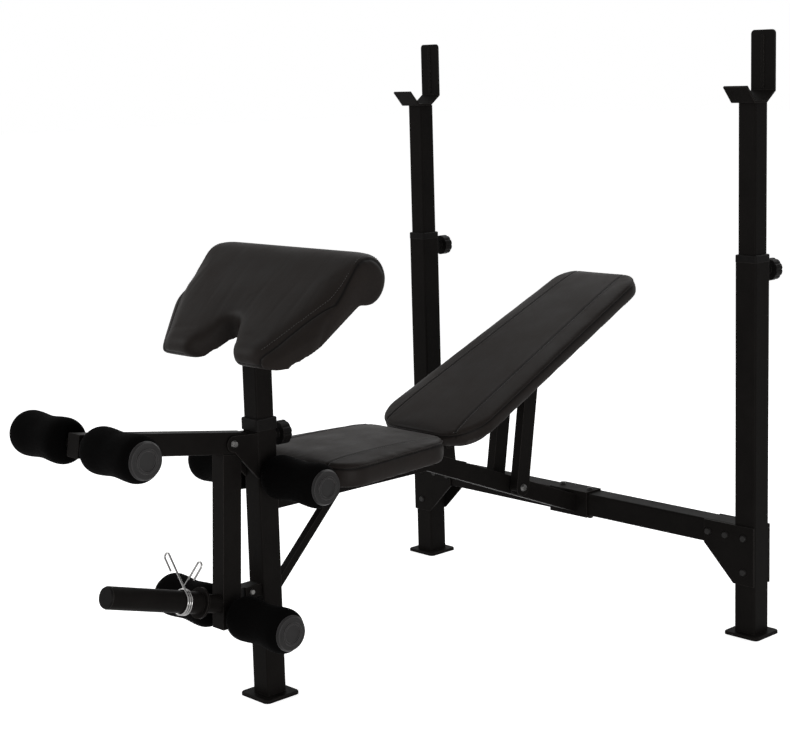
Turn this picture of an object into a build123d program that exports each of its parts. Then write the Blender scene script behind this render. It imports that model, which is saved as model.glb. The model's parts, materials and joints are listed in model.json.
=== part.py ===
"""Adjustable weight bench with bar uprights, a preacher pad and a leg developer.

Millimetres, +Z up, floor at Z = 0. +X is the bench's right, +Y runs from the leg developer to the uprights.
The origin is the middle of the footprint on the floor. The backrest stands at its incline as photographed.
"""
import os
from math import atan2, cos, degrees, hypot, pi, radians, sin, tan

from build123d import *

# Driving dimensions: the frame
upright_span = 1140.0
frame_length = 1090.0
upright_w = 60.0
upright_wall = 2.5
upright_top = 937.0
inner_w = 50.0
inner_wall = 2.5
inner_length = 600.0
catch_seat = 1320.0
post_w = 54.0
post_wall = 2.0
post_top = 645.0
beam_w = 50.0
beam_h = 45.0
beam_wall = 2.0
beam_top = 486.0
cross_w = 60.0
cross_mid = 251.0
cross_wall = 2.5
plate_t = 5.0
foot_w = 100.0
foot_t = 8.0

# Driving dimensions: the pads
seat_front_w = 386.0
seat_rear_w = 306.0
seat_start = 88.0
seat_end = 464.0
seat_thick = 58.0
seat_crown = 5.0
back_low_w = 354.0
back_top_w = 272.0
back_length = 787.0
back_thick = 45.0
back_crown = 5.0
back_angle = 24.0
back_start = -66.0
hinge_out = 580.0
rail_top = 34.0
board_t = 12.0
preacher_w = 536.0
preacher_tube = 49.0

# Driving dimensions: the leg developer and its rollers
arm_w = 40.0
arm_h = 50.0
arm_wall = 2.0
arm_reach = 377.0
arm_rise = 8.8
pivot_out = 94.0
pivot_z = 611.0
leg_lean = 3.0
leg_foot = 192.0
low_roller_z = 225.0
fixed_roller_z = 526.0
roller_d = 100.0
roller_waist = 89.0
roller_len = 174.0
roller_start = 48.0
tube_d = 25.0
cap_t = 9.0
horn_tilt = 16.0
sleeve_d = 50.0
sleeve_len = 246.0

# Driving dimensions: knobs, bolts and wire
knob_d = 55.0
knob_reach = 60.0
boss_d = 24.0
boss_t = 12.0
bolt_d = 10.0
pin_d = 16.0
wire_d = 4.5

# Clearances
slide_gap = 0.3
plate_gap = 0.6
turn_gap = 0.05

# A pad's sides draw in at the bottom and its top swells to a crown: height share and inset of each level
pad_levels = ((0.0, 5.0), (0.2, 1.0), (0.5, 0.0), (0.82, 1.5), (0.94, 5.0), (1.0, 12.0))
crown_levels = ((0.55, 52.0), (0.88, 84.0), (1.0, 104.0))

# Places worked out from the driving dimensions
back_a = radians(back_angle)
levels_of_back = [(back_thick * share, inset * 0.9) for share, inset in pad_levels]
levels_of_back += [(back_thick + back_crown * share, inset * 0.9) for share, inset in crown_levels]
back_reach = max(
    hinge_out + (back_start + back_length - inset) * cos(back_a) - (rail_top + height) * sin(back_a)
    for height, inset in levels_of_back
)
rear_reach = max(back_reach, frame_length + upright_w / 2 + knob_reach)
roller_axis_out = pivot_out + arm_reach * cos(radians(arm_rise))
front_reach = roller_axis_out + roller_d / 2
post_y = (front_reach - rear_reach) / 2
upright_y = post_y + frame_length
upright_x = upright_span / 2
sides = (-1, 1)
os.makedirs("parts", exist_ok=True)


def yz(x=0.0):
    """Sketch plane whose local x is +Y and local y is +Z, at the given X."""
    return Plane(origin=(x, 0, 0), x_dir=(0, 1, 0), z_dir=(1, 0, 0))


def save(piece, name):
    """Name a finished piece and write its STEP file."""
    piece.part.label = name
    export_step(piece.part, f"parts/{name}.step")


# Front post: a square tube with the roller tube's hole and the clamping knob's hole
knob_z = post_top - 36.0
with BuildPart() as front_post:
    with BuildSketch(Plane.XY.offset(foot_t)):
        with Locations((0, post_y)):
            RectangleRounded(post_w, post_w, 4)
            Rectangle(post_w - 2 * post_wall, post_w - 2 * post_wall, mode=Mode.SUBTRACT)
    extrude(amount=post_top - foot_t)
    with BuildSketch(yz()):
        with Locations((post_y, fixed_roller_z)):
            Circle(tube_d / 2)
    extrude(amount=post_w, both=True, mode=Mode.SUBTRACT)
    with BuildSketch(Plane.XZ.offset(-post_y - post_w / 2 + post_wall / 2)):
        with Locations((0, knob_z)):
            Circle(boss_d / 2)
    extrude(amount=-boss_t - post_wall / 2)
    with BuildSketch(Plane.XZ.offset(-post_y)):
        with Locations((0, knob_z)):
            Circle(bolt_d / 2)
    extrude(amount=-post_w, mode=Mode.SUBTRACT)
save(front_post, "front_post")

# Foot plates: the same rounded plate under the front post and both uprights
foot_spots = [(0, post_y), (-upright_x, upright_y), (upright_x, upright_y)]
with BuildPart() as foot_plates:
    with BuildSketch():
        with Locations(*foot_spots):
            RectangleRounded(foot_w, foot_w, 12)
    extrude(amount=foot_t)
    chamfer(foot_plates.faces().sort_by(Axis.Z)[-3:].edges(), 2)
save(foot_plates, "foot_plates")

# Post collar: a plastic cap over the post's mouth that guides the preacher post
collar_h = 27.0
collar_lip = 10.0
collar_w = post_w + 6.0
with BuildPart() as post_collar:
    with BuildSketch(Plane.XY.offset(post_top + collar_lip - collar_h)):
        with Locations((0, post_y)):
            RectangleRounded(collar_w, collar_w, 6)
    extrude(amount=collar_h)
    chamfer(post_collar.faces().sort_by(Axis.Z)[-1].edges(), 2)
    with BuildSketch(Plane.XY.offset(post_top + collar_lip)):
        with Locations((0, post_y)):
            Rectangle(preacher_tube + 2 * slide_gap, preacher_tube + 2 * slide_gap)
    extrude(amount=-collar_h, mode=Mode.SUBTRACT)
    with BuildSketch(Plane.XY.offset(post_top)):
        with Locations((0, post_y)):
            RectangleRounded(post_w, post_w, 4)
    extrude(amount=-collar_h, mode=Mode.SUBTRACT)
save(post_collar, "post_collar")

# Uprights: outer square tubes with the knob's hole in the rear wall and the bolts' holes
bolt_rows = [(-106.0, cross_mid), (-54.0, cross_mid), (0.0, cross_mid), (0.0, cross_mid - 87.0)]
upright_knob_z = upright_top - 26.0
for side, name in zip(sides, ("left", "right")):
    with BuildPart() as upright:
        with BuildSketch(Plane.XY.offset(foot_t)):
            with Locations((side * upright_x, upright_y)):
                RectangleRounded(upright_w, upright_w, 5)
                Rectangle(upright_w - 2 * upright_wall, upright_w - 2 * upright_wall, mode=Mode.SUBTRACT)
        extrude(amount=upright_top - foot_t)
        with BuildSketch(Plane.XZ.offset(-upright_y - upright_w / 2 + upright_wall / 2)):
            with Locations((side * upright_x, upright_knob_z)):
                Circle(boss_d / 2)
        extrude(amount=-boss_t - upright_wall / 2)
        with BuildSketch(Plane.XZ.offset(-upright_y)):
            with Locations((side * upright_x, upright_knob_z)):
                Circle(bolt_d / 2)
        extrude(amount=-upright_w, mode=Mode.SUBTRACT)
        with BuildSketch(Plane.XZ.offset(-upright_y)):
            with Locations(*[(side * (upright_x + x), z) for x, z in bolt_rows[2:]]):
                Circle(bolt_d / 2)
        extrude(amount=upright_w, both=True, mode=Mode.SUBTRACT)
    save(upright, f"{name}_upright")

# Upright collars: plastic caps with a skirt inside the outer tube
cap_h = 18.0
skirt_h = 46.0
skirt_w = upright_w - 2 * upright_wall - 0.2
upright_spots = [(side * upright_x, upright_y) for side in sides]
with BuildPart() as upright_collars:
    with BuildSketch(Plane.XY.offset(upright_top)):
        with Locations(*upright_spots):
            RectangleRounded(upright_w + 1, upright_w + 1, 5)
    extrude(amount=cap_h)
    chamfer(upright_collars.faces().sort_by(Axis.Z)[-2:].edges(), 2)
    with BuildSketch(Plane.XY.offset(upright_top)):
        with Locations(*upright_spots):
            Rectangle(skirt_w, skirt_w)
    extrude(amount=-skirt_h)
    with BuildSketch(Plane.XY.offset(upright_top + cap_h)):
        with Locations(*upright_spots):
            Rectangle(inner_w + 2 * slide_gap, inner_w + 2 * slide_gap)
    extrude(amount=-cap_h - skirt_h, mode=Mode.SUBTRACT)
    with BuildSketch(Plane.XZ.offset(-upright_y)):
        with Locations(*[(side * upright_x, upright_knob_z) for side in sides]):
            Circle(bolt_d / 2)
    extrude(amount=-upright_w, mode=Mode.SUBTRACT)
save(upright_collars, "upright_collars")

# Inner uprights slide in the collars, and each carries a bar catch
catch_w = 68.0
catch_t = 5.0
lip_out = 70.0
lip_rise = 36.0
base_front = 38.0
base_rear = 8.0
guard_back = 40.0
guard_rise = 24.0
guard_top = 172.0
rib_w = 7.0
rib_t = 3.0
for side, name in zip(sides, ("left", "right")):
    with BuildPart() as inner:
        with BuildSketch(Plane.XY.offset(catch_seat)):
            with Locations((side * upright_x, upright_y)):
                RectangleRounded(inner_w, inner_w, 4)
                Rectangle(inner_w - 2 * inner_wall, inner_w - 2 * inner_wall, mode=Mode.SUBTRACT)
        extrude(amount=-inner_length)
    save(inner, f"{name}_inner_upright")
    catch_low = catch_seat
    with BuildPart() as catch:
        with BuildSketch(yz(side * upright_x)):
            with BuildLine():
                bend = Polyline(
                    (upright_y - lip_out, catch_low + catch_t + lip_rise),
                    (upright_y - base_front, catch_low + catch_t),
                    (upright_y + base_rear, catch_low + catch_t),
                    (upright_y + guard_back, catch_low + catch_t + guard_rise),
                    (upright_y + guard_back, catch_low + guard_top),
                )
                offset(bend, amount=catch_t, side=Side.RIGHT, kind=Kind.INTERSECTION)
            make_face()
        extrude(amount=catch_w / 2, both=True)
        guard_corners = catch.edges().filter_by(Axis.Y).group_by(Axis.Z)[-1]
        fillet(guard_corners, 10)
        with BuildSketch(Plane.XZ.offset(-upright_y - guard_back)):
            with Locations((side * upright_x, catch_low + (guard_rise + guard_top) / 2)):
                SlotCenterToCenter(guard_top - guard_rise - 28, rib_w, rotation=90)
        extrude(amount=rib_t)
    save(catch, f"{name}_catch")

# Crossbar: a square tube between the uprights, held by the gusset plates and by the saddle's two bolts
saddle_bolt_x = 48.0
cross_end = upright_x - upright_w / 2
with BuildPart() as crossbar:
    with BuildSketch(yz()):
        with Locations((upright_y, cross_mid)):
            RectangleRounded(cross_w, cross_w, 5)
            Rectangle(cross_w - 2 * cross_wall, cross_w - 2 * cross_wall, mode=Mode.SUBTRACT)
    extrude(amount=cross_end, both=True)
    with BuildSketch(Plane.XZ.offset(-upright_y)):
        with Locations(*[(side * (upright_x + x), z) for side in sides for x, z in bolt_rows[:2]]):
            Circle(bolt_d / 2)
    extrude(amount=cross_w, both=True, mode=Mode.SUBTRACT)
    with BuildSketch(Plane.XY.offset(cross_mid)):
        with Locations(*[(side * saddle_bolt_x, upright_y) for side in sides]):
            Circle(bolt_d / 2)
    extrude(amount=cross_w, both=True, mode=Mode.SUBTRACT)
save(crossbar, "crossbar")

# Gusset plates: one in front and one behind each corner of upright and crossbar
gusset_in = 119.0
gusset_drop = 120.0
gusset_top = cross_mid + cross_w / 2
gusset_low = cross_mid - gusset_drop
gusset_out = upright_w / 2
with BuildPart() as gusset_plates:
    for side in sides:
        for face_y in (upright_y - cross_w / 2, upright_y + cross_w / 2 + plate_t):
            with BuildSketch(Plane.XZ.offset(-face_y)):
                with BuildLine():
                    Polyline(
                        (side * (upright_x - gusset_in), gusset_top),
                        (side * (upright_x + gusset_out), gusset_top),
                        (side * (upright_x + gusset_out), gusset_low),
                        (side * (upright_x - gusset_out), gusset_low),
                        (side * (upright_x - gusset_in), cross_mid - cross_w / 2),
                        close=True,
                    )
                make_face()
                with Locations(*[(side * (upright_x + x), z) for x, z in bolt_rows]):
                    Circle(bolt_d / 2, mode=Mode.SUBTRACT)
            extrude(amount=plate_t)
save(gusset_plates, "gusset_plates")

# Bolts: a round head, a shank and a six-sided nut, made along a plane's normal
shank_d = bolt_d - 0.2


def save_bolts(name, plane, spots, grip, head_d, head_t, nut_t):
    """Bolts with heads on the plane and nuts one grip below it, as separate solids of one node."""
    with BuildPart() as bolts:
        with BuildSketch(plane):
            with Locations(*spots):
                Circle(head_d / 2)
        extrude(amount=head_t, taper=25)
        with BuildSketch(plane):
            with Locations(*spots):
                Circle(shank_d / 2)
        extrude(amount=-grip - nut_t - 2)
        with BuildSketch(plane.offset(-grip)):
            with Locations(*spots):
                RegularPolygon(head_d / 2, 6)
        extrude(amount=-nut_t)
    save(bolts, name)


gusset_grip = cross_w + 2 * plate_t
gusset_spots = [(side * (upright_x + x), z) for side in sides for x, z in bolt_rows]
save_bolts("gusset_bolts", Plane.XZ.offset(gusset_grip / 2 - upright_y), gusset_spots, gusset_grip, 19, 5, 8)

# Rear saddle: a channel that wraps the crossbar, welded to the main beam's end
saddle_w = 130.0
saddle_reach = 56.0
saddle_y = upright_y - cross_w / 2 - plate_t
with BuildPart() as rear_saddle:
    with BuildSketch(yz()):
        with BuildLine():
            Polyline(
                (saddle_y + saddle_reach + plate_t, cross_mid + cross_w / 2 + plate_t),
                (saddle_y, cross_mid + cross_w / 2 + plate_t),
                (saddle_y, cross_mid - cross_w / 2 - plate_t),
                (saddle_y + saddle_reach + plate_t, cross_mid - cross_w / 2 - plate_t),
                (saddle_y + saddle_reach + plate_t, cross_mid - cross_w / 2),
                (saddle_y + plate_t, cross_mid - cross_w / 2),
                (saddle_y + plate_t, cross_mid + cross_w / 2),
                (saddle_y + saddle_reach + plate_t, cross_mid + cross_w / 2),
                close=True,
            )
        make_face()
    extrude(amount=saddle_w / 2, both=True)
    with BuildSketch(Plane.XY.offset(cross_mid)):
        with Locations(*[(side * saddle_bolt_x, upright_y) for side in sides]):
            Circle(bolt_d / 2)
    extrude(amount=cross_w, both=True, mode=Mode.SUBTRACT)
save(rear_saddle, "rear_saddle")

saddle_grip = cross_w + 2 * plate_t
saddle_spots = [(side * saddle_bolt_x, upright_y) for side in sides]
save_bolts("saddle_bolts", Plane.XY.offset(cross_mid + saddle_grip / 2), saddle_spots, saddle_grip, 18, 6, 8)

# Main beam: a rectangular tube, level under the seat and then sloping down to the saddle
beam_start = post_y + post_w / 2
bend_y = post_y + 508.0
beam_mid = beam_top - beam_h / 2
beam_drop = atan2(beam_mid - cross_mid, saddle_y - bend_y)
strut_y = post_y + 815.0
strut_z = beam_mid - (strut_y - bend_y) * tan(beam_drop)


def beam_outline(half):
    """Side outline of the bent beam, half its height either side of the centre line."""
    corner = half * tan(beam_drop / 2)
    slant = half / cos(beam_drop)
    Polyline(
        (beam_start, beam_mid + half),
        (bend_y + corner, beam_mid + half),
        (saddle_y, cross_mid + slant),
        (saddle_y, cross_mid - slant),
        (bend_y - corner, beam_mid - half),
        (beam_start, beam_mid - half),
        close=True,
    )


with BuildPart() as main_beam:
    with BuildSketch(yz()):
        with BuildLine():
            beam_outline(beam_h / 2)
        make_face()
    extrude(amount=beam_w / 2, both=True)
    with BuildSketch(yz()):
        with BuildLine():
            beam_outline(beam_h / 2 - beam_wall)
        make_face()
    extrude(amount=beam_w / 2 - beam_wall, both=True, mode=Mode.SUBTRACT)
    with BuildSketch(yz()):
        with Locations((strut_y, strut_z)):
            Circle(bolt_d / 2)
    extrude(amount=beam_w, both=True, mode=Mode.SUBTRACT)
save(main_beam, "main_beam")

# Diagonal brace from the post's rear face up to the beam's underside
brace_w = 19.0
brace_wall = 2.0
brace_foot = 251.0
brace_run = beam_top - beam_h - brace_foot
with BuildPart() as diagonal_brace:
    for inset, mode in ((0.0, Mode.ADD), (brace_wall, Mode.SUBTRACT)):
        half_foot = (brace_w / 2 - inset) * 2 ** 0.5
        with BuildSketch(yz()):
            with BuildLine():
                Polyline(
                    (beam_start, brace_foot - half_foot),
                    (beam_start + brace_run + half_foot, brace_foot + brace_run),
                    (beam_start + brace_run - half_foot, brace_foot + brace_run),
                    (beam_start, brace_foot + half_foot),
                    close=True,
                )
            make_face()
        extrude(amount=brace_w / 2 - inset, both=True, mode=mode)
save(diagonal_brace, "diagonal_brace")

# Clevis: two tapered plates on the post's front face that carry the developer's pivot bolt
clevis_in = arm_w / 2 + plate_gap
clevis_t = post_w / 2 - clevis_in
pivot_y = post_y - pivot_out
clevis_r = 18.0
clevis_low = 92.0
with BuildPart() as developer_clevis:
    for side in sides:
        with BuildSketch(yz(side * (clevis_in + clevis_t / 2))):
            with BuildLine():
                Polyline(
                    (post_y - post_w / 2, post_top + collar_lip - collar_h - 4),
                    (pivot_y, pivot_z + clevis_r),
                    (pivot_y, pivot_z - clevis_r),
                    (post_y - post_w / 2, pivot_z - clevis_low),
                    close=True,
                )
            make_face()
            with Locations((pivot_y, pivot_z)):
                Circle(clevis_r)
                Circle(bolt_d / 2, mode=Mode.SUBTRACT)
        extrude(amount=clevis_t / 2, both=True)
save(developer_clevis, "developer_clevis")
pivot_grip = 2 * (clevis_in + clevis_t)
save_bolts("developer_bolt", yz(pivot_grip / 2), [(pivot_y, pivot_z)], pivot_grip, 18, 6, 8)

# Leg developer arm: from behind the pivot forward and up to the front rollers
arm_plane = Plane(
    origin=(0, pivot_y, pivot_z),
    x_dir=(0, -cos(radians(arm_rise)), sin(radians(arm_rise))),
    z_dir=(-1, 0, 0),
)
arm_tail = 38.0
arm_nose = 24.0
arm_end_t = 4.0
arm_length = arm_tail + arm_reach + arm_nose
with BuildPart() as developer_arm:
    with BuildSketch(arm_plane):
        with Locations((arm_length / 2 - arm_tail, 0)):
            Rectangle(arm_length, arm_h)
    extrude(amount=arm_w / 2, both=True)
    fillet(developer_arm.edges().filter_by(lambda edge: edge.length > arm_reach), 4)
    with BuildSketch(arm_plane):
        with Locations((arm_length / 2 - arm_tail - arm_end_t, 0)):
            Rectangle(arm_length, arm_h - 2 * arm_wall)
    extrude(amount=arm_w / 2 - arm_wall, both=True, mode=Mode.SUBTRACT)
    with BuildSketch(arm_plane):
        Circle(shank_d / 2 + turn_gap)
        with Locations((arm_reach, 0)):
            Circle(tube_d / 2)
    extrude(amount=arm_w, both=True, mode=Mode.SUBTRACT)
save(developer_arm, "developer_arm")

# Leg developer leg: hangs from the arm under the pivot and leans forward at its foot
rise_slope = tan(radians(arm_rise))
lean_slope = tan(radians(leg_lean))


def leg_point(out, z):
    """A point at height z on the line that runs beside the leg's centre line at a square distance out."""
    return (pivot_y + out / cos(radians(leg_lean)) - (pivot_z - z) * lean_slope, z)


def leg_top(out):
    """The height where that line meets the underside of the arm."""
    side_step = out / cos(radians(leg_lean))
    drop = side_step * rise_slope + arm_h / 2 / cos(radians(arm_rise))
    return pivot_z - drop / (1 + lean_slope * rise_slope)


low_y, low_z = leg_point(0, low_roller_z)
with BuildPart() as developer_leg:
    for inset, mode in ((0.0, Mode.ADD), (arm_wall, Mode.SUBTRACT)):
        half = arm_h / 2 - inset
        with BuildSketch(yz()):
            with BuildLine():
                Polyline(
                    leg_point(-half, leg_top(-half)),
                    leg_point(half, leg_top(half)),
                    leg_point(half, leg_foot),
                    leg_point(-half, leg_foot),
                    close=True,
                )
            make_face()
        extrude(amount=arm_w / 2 - inset, both=True, mode=mode)
    with BuildSketch(yz()):
        with Locations((low_y, low_z)):
            Circle(tube_d / 2)
    extrude(amount=arm_w, both=True, mode=Mode.SUBTRACT)
save(developer_leg, "developer_leg")

# Roller tubes: one through the front post, two on the developer
arm_tip = arm_plane.from_local_coords((arm_reach, 0, 0))
roller_end = roller_start + roller_len
tube_wall = 2.0
tube_nodes = {
    "fixed_roller_tube": [(post_y, fixed_roller_z)],
    "developer_roller_tubes": [(arm_tip.Y, arm_tip.Z), (low_y, low_z)],
}
for name, spots in tube_nodes.items():
    with BuildPart() as tubes:
        with BuildSketch(yz()):
            with Locations(*spots):
                Circle(tube_d / 2)
                Circle(tube_d / 2 - tube_wall, mode=Mode.SUBTRACT)
        extrude(amount=roller_end, both=True)
    save(tubes, name)

# Roller end caps: a domed disc with a raised ring, on a stem inside the tube
cap_d = 80.0
cap_gap = 0.4
cap_nodes = {
    "fixed_roller_caps": tube_nodes["fixed_roller_tube"],
    "developer_roller_caps": tube_nodes["developer_roller_tubes"],
}
for name, spots in cap_nodes.items():
    with BuildPart() as caps:
        for side in sides:
            for y, z in spots:
                cap_face = Plane(origin=(side * (roller_end + cap_gap), y, z), x_dir=(0, 1, 0), z_dir=(side, 0, 0))
                with BuildSketch(cap_face):
                    Circle(cap_d / 2)
                extrude(amount=cap_t - 3, taper=30)
                with BuildSketch(cap_face.offset(cap_t - 3)):
                    Circle(cap_d * 0.33)
                    Circle(cap_d * 0.25, mode=Mode.SUBTRACT)
                extrude(amount=3, taper=15)
                with BuildSketch(cap_face):
                    Circle(tube_d / 2 - tube_wall - 0.1)
                extrude(amount=-22)
    save(caps, name)


# Foam rollers: swollen ends and a waist, free to spin on their tubes
def save_roller(name, side, y, z):
    """A foam roller turned about the X axis through (y, z), on one side of the bench."""
    turning = Plane(origin=(0, y, z), x_dir=(side, 0, 0), z_dir=(0, -side, 0))
    bore = tube_d / 2 + turn_gap
    rim = roller_d / 2
    middle = (roller_start + roller_end) / 2
    swell = roller_len * 0.14
    swell_r = (swell ** 2 + 12 ** 2) / 24
    turn_x = swell * 0.3
    turn_y = rim - swell_r + (swell_r ** 2 - (swell - turn_x) ** 2) ** 0.5
    with BuildPart() as roller:
        with BuildSketch(turning):
            with BuildLine():
                Line((roller_start, bore), (roller_start, rim - 12))
                ThreePointArc(
                    (roller_start, rim - 12),
                    (roller_start + turn_x, turn_y),
                    (roller_start + swell, rim),
                )
                ThreePointArc(
                    (roller_start + swell, rim),
                    (middle, roller_waist / 2),
                    (roller_end - swell, rim),
                )
                ThreePointArc(
                    (roller_end - swell, rim),
                    (roller_end - turn_x, turn_y),
                    (roller_end, rim - 12),
                )
                Polyline((roller_end, rim - 12), (roller_end, bore), (roller_start, bore))
            make_face()
        revolve(axis=Axis((0, y, z), (1, 0, 0)))
    save(roller, name)


for label, (y, z) in (
    ("front", (arm_tip.Y, arm_tip.Z)),
    ("fixed", (post_y, fixed_roller_z)),
    ("low", (low_y, low_z)),
):
    for side, side_name in zip(sides, ("left", "right")):
        save_roller(f"{label}_{side_name}_roller", side, y, z)

# Weight horn: a bar from the leg with a stop flange, and the sleeve that carries the plates
horn_z = 242.0
horn_d = sleeve_d - 8.0
flange_at = 76.0
flange_d = 70.0
flange_t = 6.0
horn_way = (0, -cos(radians(horn_tilt)), sin(radians(horn_tilt)))
horn_root = leg_point(0, horn_z)
horn_plane = Plane(origin=(0, *horn_root), x_dir=(1, 0, 0), z_dir=horn_way)
leg_front = Plane(
    origin=(0, *leg_point(-arm_h / 2, horn_z)),
    x_dir=(1, 0, 0),
    z_dir=(0, -cos(radians(leg_lean)), sin(radians(leg_lean))),
)
sleeve_start = flange_at + flange_t
plug_len = 20.0
with BuildPart() as weight_horn:
    with BuildSketch(horn_plane):
        Circle(horn_d / 2)
    extrude(amount=sleeve_start + sleeve_len - plug_len - 2)
    split(bisect_by=leg_front, keep=Keep.TOP)
    with BuildSketch(horn_plane.offset(flange_at)):
        Circle(flange_d / 2)
    extrude(amount=flange_t)
save(weight_horn, "weight_horn")

with BuildPart() as weight_sleeve:
    with BuildSketch(horn_plane.offset(sleeve_start)):
        Circle(sleeve_d / 2)
        Circle(horn_d / 2 + 0.1, mode=Mode.SUBTRACT)
    extrude(amount=sleeve_len)
save(weight_sleeve, "weight_sleeve")

with BuildPart() as sleeve_cap:
    with BuildSketch(horn_plane.offset(sleeve_start + sleeve_len)):
        Circle(sleeve_d / 2)
    extrude(amount=5, taper=25)
    with BuildSketch(horn_plane.offset(sleeve_start + sleeve_len)):
        Circle(horn_d / 2)
    extrude(amount=-plug_len)
save(sleeve_cap, "sleeve_cap")

# Spring clip: one wire with a hairpin handle, the coil round the sleeve and a second hairpin handle
clip_at = 118.0
clip_from = 153.0
clip_to = 1129.0
clip_pitch = wire_d + 0.9
clip_r = sleeve_d / 2 + 0.35 + wire_d / 2
start_rise = 86.0
end_rise = 110.0
handle_return = 34.0
hairpin_r = 8.0


def coil_point(share):
    """Place and heading on the coil after a share of its winding, in the sleeve's own frame."""
    wound = radians(clip_to - clip_from) * share
    angle = radians(clip_from) + wound
    place = Vector(clip_r * cos(angle), clip_r * sin(angle), clip_at + clip_pitch * wound / (2 * pi))
    heading = Vector(-clip_r * sin(angle), clip_r * cos(angle), clip_pitch / (2 * pi)).normalized()
    return place, heading


def biarc(start, start_way, end, end_way):
    """Two arcs that meet smoothly between two places with given headings."""
    span = end - start
    ways = start_way + end_way
    a = 2 * (start_way.dot(end_way) - 1)
    b = -2 * span.dot(ways)
    c = span.dot(span)
    reach = (-b - (b * b - 4 * a * c) ** 0.5) / (2 * a)
    first = start + start_way * reach
    second = end - end_way * reach
    middle = (first + second) * 0.5
    TangentArc(start, middle, tangent=start_way)
    TangentArc(middle, end, tangent=(second - first).normalized())


def square_to(way):
    """A step square to a heading, across the hairpin."""
    return Vector(way.Y, -way.X, 0).normalized() * (2 * hairpin_r)


coil_steps = int((clip_to - clip_from) / 90) + 1
stations = [coil_point(step / coil_steps) for step in range(coil_steps + 1)]
with BuildPart() as clip_shape:
    with BuildLine() as clip_line:
        coil_start, start_way = stations[0]
        start_top = coil_start - start_way * start_rise
        start_turn = start_top - square_to(start_way)
        Line(start_turn + start_way * handle_return, start_turn)
        TangentArc(start_turn, start_top, tangent=start_way * -1)
        Line(start_top, coil_start)
        for (place, way), (next_place, next_way) in zip(stations, stations[1:]):
            biarc(place, way, next_place, next_way)
        coil_end, end_way = stations[-1]
        end_top = coil_end + end_way * end_rise
        end_turn = end_top - square_to(end_way)
        Line(coil_end, end_top)
        TangentArc(end_top, end_turn, tangent=end_way)
        Line(end_turn, end_turn - end_way * handle_return)
    wire = clip_line.wires()[0]
    with BuildSketch(Plane(origin=wire @ 0, z_dir=wire % 0)):
        Circle(wire_d / 2)
    sweep(path=wire)
with BuildPart() as spring_clip:
    add(horn_plane.location * clip_shape.part)
save(spring_clip, "spring_clip")
steps = [wire @ (step / 600) for step in range(601)]
far_apart = int(600 * pi * clip_r / wire.length)
clip_gap = min(
    (steps[i] - steps[j]).length for i in range(601) for j in range(i + far_apart, 601)
) - wire_d
print(f"spring clip: least gap to itself {clip_gap:.2f} mm")

# Stop bracket on the front post, with the rubber bumper that the developer's leg rests on
stop_z = 261.0
stop_w = 36.0
stop_depth = 45.0
stop_h = 27.0
stop_bolt_d = 8.0
bumper_w = stop_w - 2 * plate_t - 0.4
post_front = post_y - post_w / 2
bumper_tip = leg_point(arm_h / 2, stop_z + stop_h / 2)[0] + slide_gap
with BuildPart() as stop_bracket:
    with BuildSketch(Plane.XY.offset(stop_z - stop_h / 2)):
        with Locations((0, post_front - stop_depth / 2)):
            Rectangle(stop_w, stop_depth)
        with Locations((0, post_front - stop_depth / 2 - plate_t)):
            Rectangle(stop_w - 2 * plate_t, stop_depth, mode=Mode.SUBTRACT)
    extrude(amount=stop_h)
    with BuildSketch(yz()):
        with Locations((post_front - stop_depth * 0.6, stop_z)):
            Circle(stop_bolt_d / 2)
    extrude(amount=stop_w, both=True, mode=Mode.SUBTRACT)
save(stop_bracket, "stop_bracket")

bumper_back = post_front - plate_t
with BuildPart() as stop_bumper:
    with BuildSketch(Plane.XY.offset(stop_z - stop_h / 2)):
        with Locations((0, (bumper_tip + bumper_back) / 2)):
            Rectangle(bumper_w, bumper_back - bumper_tip)
    extrude(amount=stop_h)
    with BuildSketch(yz()):
        with Locations((post_front - stop_depth * 0.6, stop_z)):
            Circle(stop_bolt_d / 2)
    extrude(amount=stop_w, both=True, mode=Mode.SUBTRACT)
save(stop_bumper, "stop_bumper")

with BuildPart() as stop_bolt:
    with BuildSketch(yz(stop_w / 2)):
        with Locations((post_front - stop_depth * 0.6, stop_z)):
            Circle(7)
    extrude(amount=4, taper=25)
    with BuildSketch(yz(stop_w / 2)):
        with Locations((post_front - stop_depth * 0.6, stop_z)):
            Circle(stop_bolt_d / 2 - 0.1)
    extrude(amount=-stop_w - 8)
    with BuildSketch(yz(-stop_w / 2)):
        with Locations((post_front - stop_depth * 0.6, stop_z)):
            RegularPolygon(7.5, 6)
    extrude(amount=-6)
save(stop_bolt, "stop_bolt")


# Clamping knobs: a shank through the boss, a neck and a fluted head
def save_knob(name, x, tip_y, boss_y, end_y, z):
    """A knob on the +Y side, from the shank's tip to the head's end."""
    head_t = 26.0
    flutes = 10
    with BuildPart() as knob:
        with BuildSketch(Plane.XZ.offset(-tip_y)):
            with Locations((x, z)):
                Circle(bolt_d / 2 - turn_gap)
        extrude(amount=tip_y - end_y + 4)
        with BuildSketch(Plane.XZ.offset(-boss_y)):
            with Locations((x, z)):
                Circle(boss_d / 2)
        extrude(amount=boss_y - end_y + head_t)
        with BuildSketch(Plane.XZ.offset(-end_y)):
            with Locations((x, z)):
                Circle(knob_d / 2)
                with PolarLocations(knob_d / 2 + 4.5, flutes):
                    Circle(6, mode=Mode.SUBTRACT)
        extrude(amount=head_t)
        chamfer(knob.faces().sort_by(Axis.Y)[-1].edges(), 2.5)
    save(knob, name)


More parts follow.
